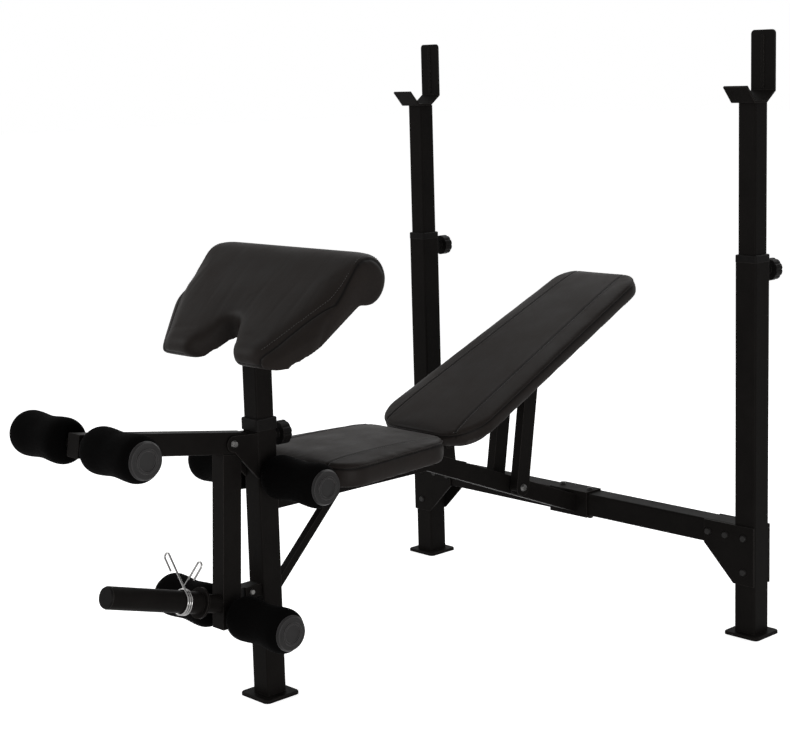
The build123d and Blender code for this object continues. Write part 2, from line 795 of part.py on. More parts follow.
for side, side_name in zip(sides, ("left", "right")):
    save_knob(
        f"{side_name}_knob",
        side * upright_x,
        upright_y + inner_w / 2 + slide_gap,
        upright_y + upright_w / 2 + boss_t + slide_gap,
        upright_y + upright_w / 2 + knob_reach,
        upright_knob_z,
    )
save_knob(
    "post_knob",
    0,
    post_y + preacher_tube / 2 + slide_gap,
    post_y + post_w / 2 + boss_t + slide_gap,
    post_y + post_w / 2 + knob_reach * 0.8,
    knob_z,
)

# Seat: two flat brackets on the beam, a board in the pad's underside, and screws from below
def tapered(start_w, end_w, start, end, inset):
    """Four corners of a pad that narrows from its start to its end, drawn in by an inset."""
    low = start_w / 2 - inset
    top = end_w / 2 - inset
    return [(-low, start + inset), (low, start + inset), (top, end - inset), (-top, end - inset)]


def seat_corners(inset):
    """The seat's corners seen from above, drawn in by an inset."""
    return tapered(seat_front_w, seat_rear_w, post_y + seat_start, post_y + seat_end, inset)


seat_low = beam_top + 7.0
seat_mid_y = post_y + (seat_start + seat_end) / 2
seat_len = seat_end - seat_start
bracket_w = 200.0
bracket_step = seat_len * 0.52
screw_x = 80.0
screw_hole = 6.0
bracket_spots = [(0, seat_mid_y - bracket_step / 2), (0, seat_mid_y + bracket_step / 2)]
screw_spots = [(side * screw_x, y) for side in sides for x, y in bracket_spots]
with BuildPart() as seat_brackets:
    with BuildSketch(Plane.XY.offset(beam_top)):
        with Locations(*bracket_spots):
            RectangleRounded(bracket_w, 40, 6)
        with Locations(*screw_spots):
            Circle(screw_hole / 2, mode=Mode.SUBTRACT)
    extrude(amount=seat_low - beam_top)
save(seat_brackets, "seat_brackets")

# Seat pad and board
board_inset = 14.0
levels_of_seat = [(seat_thick * share, inset) for share, inset in pad_levels]
levels_of_seat += [(seat_thick + seat_crown * share, inset) for share, inset in crown_levels]
seat_front_corner = 66.0
seat_rear_corner = 60.0
with BuildPart() as seat_pad:
    for height, inset in levels_of_seat:
        with BuildSketch(Plane.XY.offset(seat_low + height)) as seat_level:
            with BuildLine():
                Polyline(*seat_corners(inset), close=True)
            make_face()
            fillet(seat_level.vertices().sort_by(Axis.Y)[:2], max(seat_front_corner - inset * 0.7, 14))
            fillet(seat_level.vertices().sort_by(Axis.Y)[-2:], max(seat_rear_corner - inset * 0.4, 14))
    loft(ruled=True)
    with BuildSketch(Plane.XY.offset(seat_low)) as seat_pocket:
        with BuildLine():
            Polyline(*seat_corners(board_inset), close=True)
        make_face()
        fillet(seat_pocket.vertices(), seat_rear_corner)
    extrude(amount=board_t, mode=Mode.SUBTRACT)
save(seat_pad, "seat_pad")

with BuildPart() as seat_board:
    with BuildSketch(Plane.XY.offset(seat_low)) as seat_face:
        with BuildLine():
            Polyline(*seat_corners(board_inset + 0.2), close=True)
        make_face()
        fillet(seat_face.vertices(), seat_rear_corner)
        with Locations(*screw_spots):
            Circle(screw_hole / 2, mode=Mode.SUBTRACT)
    extrude(amount=board_t)
save(seat_board, "seat_board")


def save_screws(name, plane, spots, grip):
    """Screws with flat heads on the plane, pointing along its normal, as separate solids of one node."""
    with BuildPart() as screws:
        with BuildSketch(plane):
            with Locations(*spots):
                Circle(screw_hole)
        extrude(amount=-3.5, taper=20)
        with BuildSketch(plane):
            with Locations(*spots):
                Circle(screw_hole / 2 - 0.1)
        extrude(amount=grip)
    save(screws, name)


save_screws("seat_screws", Plane.XY.offset(beam_top), screw_spots, seat_low - beam_top + board_t - 1)

# Backrest hinge: two lugs on the sloping beam, and the bolt through them
hinge_y = post_y + hinge_out
hinge_z = 502.0
lug_t = 5.0
lug_r = 17.0
lug_half = 22.0
corner_y = bend_y + beam_h / 2 * tan(beam_drop / 2)
lug_foot = max(hinge_y - lug_half, corner_y + 1)


def beam_roof(y):
    """Height of the sloping part's top face."""
    return beam_top - (y - corner_y) * tan(beam_drop)


with BuildPart() as hinge_bracket:
    for side in sides:
        with BuildSketch(yz(side * (beam_w / 2 - lug_t / 2))):
            with BuildLine():
                Polyline(
                    (hinge_y - lug_r, hinge_z),
                    (lug_foot, beam_roof(lug_foot)),
                    (hinge_y + lug_half, beam_roof(hinge_y + lug_half)),
                    (hinge_y + lug_r, hinge_z),
                    close=True,
                )
            make_face()
            with Locations((hinge_y, hinge_z)):
                Circle(lug_r)
                Circle(bolt_d / 2, mode=Mode.SUBTRACT)
        extrude(amount=lug_t / 2, both=True)
save(hinge_bracket, "hinge_bracket")

# Backrest rails: angle irons under the board, with the slots that the strut pin runs in
side_plane = Plane(origin=(0, hinge_y, hinge_z), x_dir=(0, cos(back_a), sin(back_a)), z_dir=(1, 0, 0))
face_plane = Plane(origin=(0, hinge_y, hinge_z), x_dir=(1, 0, 0), z_dir=(0, -sin(back_a), cos(back_a)))
rail_in = beam_w / 2 + plate_gap
rail_t = 5.0
rail_low = -32.0
rail_end = 560.0
flange_w = 32.0
strut_at = 298.0
slot_line = -10.7
slot_room = 0.9
strut_pin_at = side_plane.from_local_coords((strut_at, slot_line, 0))
strut_length = hypot(strut_pin_at.Y - strut_y, strut_pin_at.Z - strut_z)
strut_tilt = atan2(strut_pin_at.Y - strut_y, strut_pin_at.Z - strut_z)
flat_rise = hinge_z + slot_line - strut_z
slot_far = strut_y + (strut_length ** 2 - flat_rise ** 2) ** 0.5 - hinge_y
slot_mid = (strut_at + slot_far) / 2
slot_h = pin_d + 2 * slot_room
rail_screws = (60.0, 205.0, 515.0)
rail_screw_x = rail_in + rail_t + flange_w * 0.55
back_screw_spots = [(side * rail_screw_x, along) for side in sides for along in rail_screws]
with BuildPart() as backrest_rails:
    for side in sides:
        with BuildSketch(side_plane.offset(side * (rail_in + rail_t / 2))):
            with BuildLine():
                Polyline(
                    (-18, 4),
                    (-18, -8),
                    (0, -18),
                    (strut_at - 40, rail_low),
                    (slot_far + 24, rail_low),
                    (rail_end, 4),
                    (rail_end, rail_top),
                    (-6, rail_top),
                    close=True,
                )
            make_face()
            with Locations((slot_mid, slot_line)):
                SlotCenterToCenter(slot_far - strut_at + 2 * slot_room, slot_h, mode=Mode.SUBTRACT)
            Circle(shank_d / 2 + turn_gap, mode=Mode.SUBTRACT)
        extrude(amount=rail_t / 2, both=True)
        with BuildSketch(face_plane.offset(rail_top)):
            with Locations((side * (rail_in + flange_w / 2), (rail_end + 30) / 2)):
                Rectangle(flange_w, rail_end - 30)
            with Locations(*[(side * rail_screw_x, along) for along in rail_screws]):
                Circle(screw_hole / 2, mode=Mode.SUBTRACT)
        extrude(amount=-rail_t)
save(backrest_rails, "backrest_rails")
hinge_grip = 2 * (rail_in + rail_t)
save_bolts("hinge_bolt", yz(hinge_grip / 2 + slide_gap), [(hinge_y, hinge_z)], hinge_grip + 2 * slide_gap, 18, 5, 7)
save_screws("backrest_screws", face_plane.offset(rail_top - rail_t), back_screw_spots, rail_t + board_t - 1)


# Backrest pad: tapers towards the head, with rounder corners at the seat
def back_corners(inset):
    """The backrest's four corners on the pad's face, drawn in by an inset."""
    return tapered(back_low_w, back_top_w, back_start, back_start + back_length, inset)


back_low_corner = 95.0
back_top_corner = 60.0
with BuildPart() as backrest_pad:
    for height, inset in levels_of_back:
        with BuildSketch(face_plane.offset(rail_top + height)) as back_level:
            with BuildLine():
                Polyline(*back_corners(inset), close=True)
            make_face()
            low_ends = back_level.vertices().sort_by(Axis.Y)[:2]
            fillet(low_ends, max(back_low_corner - inset * 0.7, 14))
            top_ends = back_level.vertices().sort_by(Axis.Y)[-2:]
            fillet(top_ends, max(back_top_corner - inset * 0.4, 10))
    loft(ruled=True)
    with BuildSketch(face_plane.offset(rail_top)) as back_pocket:
        with BuildLine():
            Polyline(*back_corners(board_inset), close=True)
        make_face()
        fillet(back_pocket.vertices(), back_top_corner)
    extrude(amount=board_t, mode=Mode.SUBTRACT)
save(backrest_pad, "backrest_pad")

with BuildPart() as backrest_board:
    with BuildSketch(face_plane.offset(rail_top)) as board_face:
        with BuildLine():
            Polyline(*back_corners(board_inset + 0.2), close=True)
        make_face()
        fillet(board_face.vertices(), back_top_corner)
        with Locations(*back_screw_spots):
            Circle(screw_hole / 2, mode=Mode.SUBTRACT)
    extrude(amount=board_t)
save(backrest_board, "backrest_board")

# Struts: two tubes with rounded ends that straddle the beam and carry the pin in the rails' slots
strut_in = rail_in + rail_t + plate_gap
strut_w = 25.0
strut_d = 45.0
strut_wall = 2.5
strut_plane = Plane(
    origin=(0, strut_y, strut_z),
    x_dir=(0, sin(strut_tilt), cos(strut_tilt)),
    z_dir=(1, 0, 0),
)
with BuildPart() as struts:
    for side in sides:
        strut_mid = strut_plane.offset(side * (strut_in + strut_w / 2))
        with BuildSketch(strut_mid):
            with Locations((strut_length / 2, 0)):
                SlotCenterToCenter(strut_length, strut_d)
        extrude(amount=strut_w / 2, both=True)
        with BuildSketch(strut_mid):
            with Locations((strut_length / 2, 0)):
                Rectangle(strut_length + 2 * strut_d, strut_d - 2 * strut_wall)
        extrude(amount=strut_w / 2 - strut_wall, both=True, mode=Mode.SUBTRACT)
        with BuildSketch(strut_mid):
            Circle(shank_d / 2 + turn_gap)
            with Locations((strut_length, 0)):
                Circle(pin_d / 2)
        extrude(amount=strut_w, both=True, mode=Mode.SUBTRACT)
save(struts, "struts")

pin_half = strut_in + strut_w + slide_gap
with BuildPart() as strut_pin:
    with BuildSketch(strut_plane):
        with Locations((strut_length, 0)):
            Circle(pin_d / 2 - turn_gap)
    extrude(amount=pin_half, both=True)
    for side in sides:
        with BuildSketch(strut_plane.offset(side * pin_half)):
            with Locations((strut_length, 0)):
                Circle(pin_d / 2 + 3)
        extrude(amount=side * 3)
save(strut_pin, "strut_pin")

# Strut bolt: through the beam and both struts, with a spacer washer on each side of the beam
strut_grip = 2 * pin_half
washer_t = strut_in - beam_w / 2 - slide_gap
with BuildPart() as strut_bolt:
    with BuildSketch(strut_plane.offset(pin_half)):
        Circle(10)
    extrude(amount=6, taper=25)
    with BuildSketch(strut_plane.offset(pin_half)):
        Circle(shank_d / 2)
    extrude(amount=-strut_grip - 10)
    with BuildSketch(strut_plane.offset(-pin_half)):
        RegularPolygon(10, 6)
    extrude(amount=-8)
    for side in sides:
        with BuildSketch(strut_plane.offset(side * beam_w / 2)):
            Circle(13)
            Circle(bolt_d / 2 + 0.1, mode=Mode.SUBTRACT)
        extrude(amount=side * washer_t)
save(strut_bolt, "strut_bolt")

# Preacher post: slides in the front post, its top cut to the slope of the preacher pad's underside
under_front = (-84.0, 806.0)
under_rear = (88.0, 921.0)
under_slope = atan2(under_rear[1] - under_front[1], under_rear[0] - under_front[0])
under_z = under_front[1] - under_front[0] * tan(under_slope)
under_plane = Plane(
    origin=(0, post_y, under_z),
    x_dir=(1, 0, 0),
    z_dir=(0, -sin(under_slope), cos(under_slope)),
)
preacher_low = fixed_roller_z + tube_d / 2 + 17.5
preacher_wall = 2.0
with BuildPart() as preacher_post:
    with BuildSketch(Plane.XY.offset(preacher_low)):
        with Locations((0, post_y)):
            RectangleRounded(preacher_tube, preacher_tube, 4)
            inside = preacher_tube - 2 * preacher_wall
            Rectangle(inside, inside, mode=Mode.SUBTRACT)
    extrude(amount=under_z - preacher_low + preacher_tube)
    split(bisect_by=under_plane.offset(-plate_t), keep=Keep.BOTTOM)
save(preacher_post, "preacher_post")

plate_w = 190.0
plate_from = -32.0
plate_to = 84.0
preacher_screw_spots = [(side * 72, along) for side in sides for along in (0, 66)]
with BuildPart() as preacher_bracket:
    with BuildSketch(under_plane):
        with Locations((0, (plate_from + plate_to) / 2)):
            RectangleRounded(plate_w, plate_to - plate_from, 8)
        with Locations(*preacher_screw_spots):
            Circle(screw_hole / 2, mode=Mode.SUBTRACT)
    extrude(amount=-plate_t)
save(preacher_bracket, "preacher_bracket")
save_screws("preacher_screws", under_plane.offset(-plate_t), preacher_screw_spots, plate_t + board_t - 1)

# Preacher pad: a wedge with a roll along its upper edge, drawn in at both ends, and a notch for the chest
roll_mid = (115.0, 975.0)
roll_r = 56.0
pad_slope = radians(42.0)
pad_heart = (10.0, 905.0)
nose_top = (-108.0, 850.0)
nose_tip = (-133.0, 818.0)


def preacher_outline(scale, sink):
    """The pad's side outline, scaled about its middle, with its face sunk towards its underside."""
    def spot(y, z, drop=0.0):
        side_y = y + drop * sin(pad_slope)
        side_z = z - drop * cos(pad_slope)
        return (
            post_y + pad_heart[0] + (side_y - pad_heart[0]) * scale,
            pad_heart[1] + (side_z - pad_heart[1]) * scale,
        )

    def on_roll(degree):
        turn = radians(degree)
        return (roll_mid[0] + roll_r * cos(turn), roll_mid[1] + roll_r * sin(turn))

    leave = on_roll(90 + degrees(pad_slope))
    knee = (leave[0] * 0.7 + nose_top[0] * 0.3, leave[1] * 0.7 + nose_top[1] * 0.3)
    Line(spot(*under_front), spot(*under_rear))
    ThreePointArc(spot(*under_rear), spot(*on_roll(-55)), spot(*on_roll(0)))
    ThreePointArc(spot(*on_roll(0)), spot(*on_roll(66)), spot(*leave))
    Line(spot(*leave), spot(*knee, sink))
    Line(spot(*knee, sink), spot(*nose_top, sink))
    ThreePointArc(spot(*nose_top, sink), spot(*nose_tip, sink / 2), spot(*under_front))


end_levels = ((0.0, 0.86, 15.0), (7.0, 0.94, 10.0), (22.0, 0.985, 5.0), (52.0, 1.0, 0.4))
half_pad = preacher_w / 2
stations_x = [(draw - half_pad, scale, sink) for draw, scale, sink in end_levels]
stations_x += [(half_pad - draw, scale, sink) for draw, scale, sink in reversed(end_levels)]
nose_corner = 110.0
nose_edge = -170.0
outline_top = 240.0
outline_slope = radians(38.0)
outline_plane = Plane(
    origin=(0, post_y + pad_heart[0], pad_heart[1]),
    x_dir=(1, 0, 0),
    z_dir=(0, -sin(outline_slope), cos(outline_slope)),
)


def side_panel(side):
    """The flat that draws one side of the pad's face in towards its nose, from its face to its underside."""
    upper = outline_plane.from_local_coords(Vector(side * (half_pad - 6), 0, 35))
    lower = outline_plane.from_local_coords(Vector(side * (half_pad - 83), -130, 30))
    under = outline_plane.from_local_coords(Vector(side * (half_pad - 8), -95, -22))
    outward = (lower - upper).cross(under - upper) * side
    return Plane(origin=upper, z_dir=outward)


notch_tip = (-53.0, 897.0)
notch_tilt = radians(15.0)
notch_r = 38.0
notch_half = 94.0
notch_spread = 110.0
notch_end = 190.0
notch_plane = Plane(
    origin=(0, post_y + notch_tip[0], notch_tip[1]),
    x_dir=(1, 0, 0),
    z_dir=(0, -sin(notch_tilt), cos(notch_tilt)),
)
board_w = preacher_w - 90.0
board_from = -28.0
board_to = 90.0
with BuildPart() as preacher_pad:
    for x, scale, sink in stations_x:
        with BuildSketch(yz(x)):
            with BuildLine():
                preacher_outline(scale, sink)
            make_face()
    loft(ruled=True)
    with BuildSketch(outline_plane) as seen_square:
        with Locations((0, (nose_edge + outline_top) / 2)):
            Rectangle(preacher_w + 2, outline_top - nose_edge)
        fillet(seen_square.vertices().sort_by(Axis.Y)[:2], nose_corner)
    extrude(amount=220, both=True, mode=Mode.INTERSECT)
    for side in sides:
        split(bisect_by=side_panel(side), keep=Keep.BOTTOM)
    with BuildSketch(notch_plane):
        with BuildLine():
            Polyline(
                (-notch_r * 0.92, 10 - notch_r),
                (-notch_half, -notch_spread),
                (-notch_half, -notch_end),
                (notch_half, -notch_end),
                (notch_half, -notch_spread),
                (notch_r * 0.92, 10 - notch_r),
                close=True,
            )
        make_face()
        with Locations((0, -notch_r)):
            Circle(notch_r)
    extrude(amount=160, both=True, mode=Mode.SUBTRACT)
    with BuildSketch(under_plane):
        with Locations((0, (board_from + board_to) / 2)):
            RectangleRounded(board_w, board_to - board_from, 12)
    extrude(amount=board_t, mode=Mode.SUBTRACT)
save(preacher_pad, "preacher_pad")

with BuildPart() as preacher_board:
    with BuildSketch(under_plane):
        with Locations((0, (board_from + board_to) / 2)):
            RectangleRounded(board_w - 0.4, board_to - board_from - 0.4, 12)
        with Locations(*preacher_screw_spots):
            Circle(screw_hole / 2, mode=Mode.SUBTRACT)
    extrude(amount=board_t)
save(preacher_board, "preacher_board")
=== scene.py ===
import json
import math

import bmesh
import bpy
import numpy as np
from bpy.props import FloatProperty, FloatVectorProperty, IntProperty, PointerProperty
from mathutils import Matrix, Vector
from mathutils.bvhtree import BVHTree


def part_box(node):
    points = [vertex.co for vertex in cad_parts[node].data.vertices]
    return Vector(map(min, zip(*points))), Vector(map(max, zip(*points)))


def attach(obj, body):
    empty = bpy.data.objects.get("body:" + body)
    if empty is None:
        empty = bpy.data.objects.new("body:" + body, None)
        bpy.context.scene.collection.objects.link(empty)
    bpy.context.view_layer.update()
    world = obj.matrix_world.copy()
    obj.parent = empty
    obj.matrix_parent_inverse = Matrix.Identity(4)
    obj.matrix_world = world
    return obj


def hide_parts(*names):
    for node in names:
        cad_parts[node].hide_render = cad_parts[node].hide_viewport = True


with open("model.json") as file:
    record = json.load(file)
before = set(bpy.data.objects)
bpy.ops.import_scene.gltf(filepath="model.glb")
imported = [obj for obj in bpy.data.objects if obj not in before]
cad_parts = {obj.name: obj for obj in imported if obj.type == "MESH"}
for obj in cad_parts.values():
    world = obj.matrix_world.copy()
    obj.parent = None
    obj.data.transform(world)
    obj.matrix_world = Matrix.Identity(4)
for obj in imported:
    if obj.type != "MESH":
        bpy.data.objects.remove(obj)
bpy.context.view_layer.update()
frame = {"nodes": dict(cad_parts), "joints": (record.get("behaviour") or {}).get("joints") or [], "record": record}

bl_info = {
    "name": "Adjustable weight bench",
    "version": (1, 0, 0),
    "blender": (4, 5, 0),
    "location": "3D View > Sidebar > Bench",
    "description": "Upholstery, foam rollers, finishes and a studio for the packed weight bench",
    "category": "Object",
}

PICTURE_WIDTH = 790.0
SENSOR_WIDTH = 36.0
SLOT_OF_NODE = {row["node"]: row["material_slot"] for row in frame["record"]["subparts"]}
JOINT_PLACE = {j["name"]: np.array(j["pos_m"]) for j in frame["joints"] if "pos_m" in j}

# How far a row of stitches lies beside its seam, and a groove below its edge seam
SEAM_SIDE = 0.0035

# The backrest's own frame: along it from the hinge, and square to its face. Its pad lies on its boards at
# BACK_UNDER, and narrows from its half width at the seat to that at the head.
BACK_LEAN = math.radians(24.0)
HINGE = JOINT_PLACE["backrest_tilt"]
ALONG_BACK = np.array([0.0, math.cos(BACK_LEAN), math.sin(BACK_LEAN)])
OFF_BACK = np.array([0.0, -math.sin(BACK_LEAN), math.cos(BACK_LEAN)])
BACK_UNDER = 0.034
BACK_START, BACK_LENGTH = -0.066, 0.787
BACK_HALF_LOW, BACK_HALF_HEAD = 0.177, 0.136

# The front post's middle line, the arm pad's own frame, up its face and square to it, the plane of its
# underside, and the middle of its roll
POST_Y = JOINT_PLACE["fixed_left_spin"][1]
ARM_HEART = np.array([0.0, POST_Y + 0.01, 0.905])
ARM_SLOPE = math.radians(38.0)
UP_ARM = np.array([0.0, math.cos(ARM_SLOPE), math.sin(ARM_SLOPE)])
OFF_ARM = np.array([0.0, -math.sin(ARM_SLOPE), math.cos(ARM_SLOPE)])
ARM_UNDER = np.array([0.0, POST_Y - 0.084, 0.806])
ARM_UNDER_SLOPE = math.atan2(0.921 - 0.806, 0.088 + 0.084)
OFF_UNDER = np.array([0.0, -math.sin(ARM_UNDER_SLOPE), math.cos(ARM_UNDER_SLOPE)])
ROLL_HEART, ROLL_RADIUS = np.array([POST_Y + 0.115, 0.975]), 0.07


class BenchFinishes(bpy.types.PropertyGroup):
    """Colours of the bench's finishes."""

    powder: FloatVectorProperty(
        name="Powder coat", description="Satin black coat of the tubes and plates",
        default=(0.0066, 0.0059, 0.0055), subtype="COLOR", min=0.0, max=1.0)
    vinyl: FloatVectorProperty(
        name="Vinyl", description="Cover of the seat, backrest and arm pad",
        default=(0.0095, 0.0075, 0.0066), subtype="COLOR", min=0.0, max=1.0)
    foam: FloatVectorProperty(
        name="Foam", description="Skin of the foam rollers",
        default=(0.0013, 0.0012, 0.0012), subtype="COLOR", min=0.0, max=1.0)
    plastic: FloatVectorProperty(
        name="Plastic", description="End caps of the rollers",
        default=(0.0155, 0.0148, 0.0148), subtype="COLOR", min=0.0, max=1.0)
    knob: FloatVectorProperty(
        name="Dark plastic", description="Knobs, collars on the tubes and the sleeve's cap",
        default=(0.0068, 0.0063, 0.0061), subtype="COLOR", min=0.0, max=1.0)
    wire: FloatVectorProperty(
        name="Plated wire", description="Spring clip on the weight sleeve",
        default=(0.26, 0.255, 0.25), subtype="COLOR", min=0.0, max=1.0)
    zinc: FloatVectorProperty(
        name="Zinc", description="Pivot bolts, pins and screws",
        default=(0.14, 0.137, 0.133), subtype="COLOR", min=0.0, max=1.0)
    board: FloatVectorProperty(
        name="Backing board", description="Black boards under the pads",
        default=(0.016, 0.014, 0.013), subtype="COLOR", min=0.0, max=1.0)
    thread: FloatVectorProperty(
        name="Thread", description="Stitches along the pads' seams",
        default=(0.022, 0.02, 0.019), subtype="COLOR", min=0.0, max=1.0)
    floor: FloatVectorProperty(
        name="Floor", description="Studio floor",
        default=(0.9, 0.9, 0.9), subtype="COLOR", min=0.0, max=1.0)


class BenchUpholstery(bpy.types.PropertyGroup):
    """Sizes of the stuffed pads and of the foam rollers."""

    voxel: FloatProperty(
        name="Cloth step", description="Spacing of the cover's points before it is stuffed",
        default=0.005, unit="LENGTH", min=0.003, max=0.01)
    shrink: FloatProperty(
        name="Start inset", description="How far inside the solid the cover starts",
        default=0.0008, unit="LENGTH", min=0.0, max=0.01)
    pressure: FloatProperty(
        name="Stuffing pressure", description="Pressure that swells the cover",
        default=0.3, min=0.0, max=20.0)
    swell: FloatProperty(
        name="Most swell", description="How far a point of the cover may move",
        default=0.006, unit="LENGTH", min=0.0, max=0.03)
    seam_depth: FloatProperty(
        name="Seam depth", description="How far a sewn seam draws the cover in",
        default=0.0019, unit="LENGTH", min=0.0, max=0.01)
    seam_width: FloatProperty(
        name="Seam width", description="Half width of the groove at a seam",
        default=0.0026, unit="LENGTH", min=0.0005, max=0.02)
    stitch: FloatProperty(
        name="Stitch pitch", description="Length of one stitch with its gap",
        default=0.0065, unit="LENGTH", min=0.003, max=0.02)
    seat_seam: FloatProperty(
        name="Seat seam", description="Distance of the seat's seams from its middle line",
        default=0.122, unit="LENGTH", min=0.05, max=0.15)
    back_seam: FloatProperty(
        name="Backrest seam", description="Distance of the backrest's seams from its sides",
        default=0.055, unit="LENGTH", min=0.01, max=0.08)
    welt: FloatProperty(
        name="Edge seam", description="Radius of the sewn lip along a pad's upper edge",
        default=0.0016, unit="LENGTH", min=0.0005, max=0.005)
    roller_turns: IntProperty(
        name="Roller facets", description="Points round a foam roller",
        default=96, min=24, max=256)


class BenchStudio(bpy.types.PropertyGroup):
    """Camera and lamps."""

    eye: FloatVectorProperty(
        name="Camera place", description="Where the camera stands",
        default=(2.9615, POST_Y - 2.3489, 1.4129), subtype="TRANSLATION", unit="LENGTH")
    yaw: FloatProperty(
        name="Camera yaw", description="Turn of the view from +Y towards -X",
        default=math.radians(46.83), subtype="ANGLE")
    pitch: FloatProperty(
        name="Camera pitch", description="How far the view looks down",
        default=math.radians(8.59), subtype="ANGLE")
    roll: FloatProperty(
        name="Camera roll", description="Turn of the picture about the view",
        default=math.radians(-1.63), subtype="ANGLE")
    lens: FloatProperty(
        name="Focal length", description="Focal length in millimetres on a 36 mm wide sensor",
        default=1698.4 * SENSOR_WIDTH / PICTURE_WIDTH, min=20.0, max=200.0)
    shift: FloatProperty(
        name="Vertical shift", description="Share of the picture's width",
        default=-40.0 / PICTURE_WIDTH, min=-0.2, max=0.2)
    key: FloatProperty(
        name="Key lamp", description="Power of the soft lamp over the bench",
        default=60.0, unit="POWER", min=0.0)
    side: FloatProperty(
        name="Side lamp", description="Power of the low soft lamp at the bench's right side",
        default=32.0, unit="POWER", min=0.0)
    left: FloatProperty(
        name="Left lamp", description="Power of the lamp at the bench's front left",
        default=36.0, unit="POWER", min=0.0)
    sky: FloatProperty(
        name="Room light", description="Strength of the even light all round",
        default=0.35, min=0.0, max=2.0)


def finishes():
    """The colours that the sidebar holds."""
    return bpy.context.scene.bench_finishes


def upholstery():
    """The pad sizes that the sidebar holds."""
    return bpy.context.scene.bench_upholstery


def studio():
    """The camera and lamp values that the sidebar holds."""
    return bpy.context.scene.bench_studio


# Shader nodes

def set_inputs(tree, node, inputs):
    """Set or link a node's inputs by name or number."""
    for key, value in inputs.items():
        if isinstance(value, bpy.types.NodeSocket):
            tree.links.new(value, node.inputs[key])
        else:
            node.inputs[key].default_value = value
    return node


def place(tree, kind, inputs=None, **settings):
    """Add a node, set its properties and then its inputs."""
    node = tree.nodes.new(kind)
    for key, value in settings.items():
        setattr(node, key, value)
    return set_inputs(tree, node, inputs or {})


def rgba(colour, gain=1.0):
    """A colour with full alpha, made lighter or darker by a factor."""
    return tuple(min(1.0, c * gain) for c in colour) + (1.0,)


def new_group(name, inputs, outputs):
    """An empty shader group with its named sockets, and its two end nodes."""
    tree = bpy.data.node_groups.new(name, "ShaderNodeTree")
    for label, kind, value in inputs:
        socket = tree.interface.new_socket(label, in_out="INPUT", socket_type=kind)
        if value is not None:
            socket.default_value = value
    for label, kind in outputs:
        tree.interface.new_socket(label, in_out="OUTPUT", socket_type=kind)
    return tree, tree.nodes.new("NodeGroupInput"), tree.nodes.new("NodeGroupOutput")


def softened_edge_group():
    """Rounded-edge normal, and a mask that is 1 where that normal leaves the flat one."""
    found = bpy.data.node_groups.get("Softened edge")
    if found:
        return found
    tree, start, end = new_group(
        "Softened edge",
        [("Radius", "NodeSocketFloat", 0.002), ("Gain", "NodeSocketFloat", 6.0)],
        [("Normal", "NodeSocketVector"), ("Mask", "NodeSocketFloat")])
    rounded = place(tree, "ShaderNodeBevel", {"Radius": start.outputs["Radius"]}, samples=6)
    flat = place(tree, "ShaderNodeNewGeometry")
    agree = place(
        tree, "ShaderNodeVectorMath",
        {0: rounded.outputs["Normal"], 1: flat.outputs["Normal"]}, operation="DOT_PRODUCT")
    leave = place(
        tree, "ShaderNodeMath", {0: 1.0, 1: agree.outputs["Value"]}, operation="SUBTRACT")
    mask = place(
        tree, "ShaderNodeMath", {0: leave.outputs[0], 1: start.outputs["Gain"]},
        operation="MULTIPLY", use_clamp=True)
    tree.links.new(rounded.outputs["Normal"], end.inputs["Normal"])
    tree.links.new(mask.outputs[0], end.inputs["Mask"])
    return tree


def grain_group():
    """Pebbles from cell distance mixed with noise: a height, and a slow mottling mask."""
    found = bpy.data.node_groups.get("Surface grain")
    if found:
        return found
    tree, start, end = new_group(
        "Surface grain",
        [("Vector", "NodeSocketVector", None), ("Grain Scale", "NodeSocketFloat", 700.0),
         ("Mottle Scale", "NodeSocketFloat", 9.0), ("Pebble", "NodeSocketFloat", 0.5)],
        [("Height", "NodeSocketFloat"), ("Mottle", "NodeSocketFloat")])
    cells = place(
        tree, "ShaderNodeTexVoronoi",
        {"Vector": start.outputs["Vector"], "Scale": start.outputs["Grain Scale"]},
        feature="SMOOTH_F1")
    fine = place(
        tree, "ShaderNodeTexNoise",
        {"Vector": start.outputs["Vector"], "Scale": start.outputs["Grain Scale"],
         "Detail": 3.0, "Roughness": 0.6})
    height = place(
        tree, "ShaderNodeMix",
        {"Factor": start.outputs["Pebble"], "A": fine.outputs["Fac"],
         "B": cells.outputs["Distance"]})
    mottle = place(
        tree, "ShaderNodeTexNoise",
        {"Vector": start.outputs["Vector"], "Scale": start.outputs["Mottle Scale"],
         "Detail": 5.0, "Roughness": 0.62})
    spread = place(
        tree, "ShaderNodeMapRange",
        {"Value": mottle.outputs["Fac"], "From Min": 0.32, "From Max": 0.7})
    tree.links.new(height.outputs["Result"], end.inputs["Height"])
    tree.links.new(spread.outputs["Result"], end.inputs["Mottle"])
    return tree


def use_group(tree, group, inputs):
    """Place a shader group in a material."""
    node = tree.nodes.new("ShaderNodeGroup")
    node.node_tree = group
    return set_inputs(tree, node, inputs)


def new_material(name):
    """A material with only its output, its Principled shader and its Object coordinates."""
    material = bpy.data.materials.new(name)
    material.use_nodes = True
    tree = material.node_tree
    tree.nodes.clear()
    shader = tree.nodes.new("ShaderNodeBsdfPrincipled")
    place(tree, "ShaderNodeOutputMaterial", {"Surface": shader.outputs[0]})
    where = place(tree, "ShaderNodeTexCoord").outputs["Object"]
    return material, tree, shader, where


def blend_colour(tree, mask, first, second):
    """Mix two colours by a mask."""
    mix = place(
        tree, "ShaderNodeMix", {"Factor": mask, 6: first, 7: second}, data_type="RGBA")
    return mix.outputs[2]


def spread_value(tree, mask, low, high):
    """A value that runs from low to high as the mask runs from 0 to 1."""
    return place(
        tree, "ShaderNodeMapRange",
        {"Value": mask, "To Min": low, "To Max": high}).outputs["Result"]


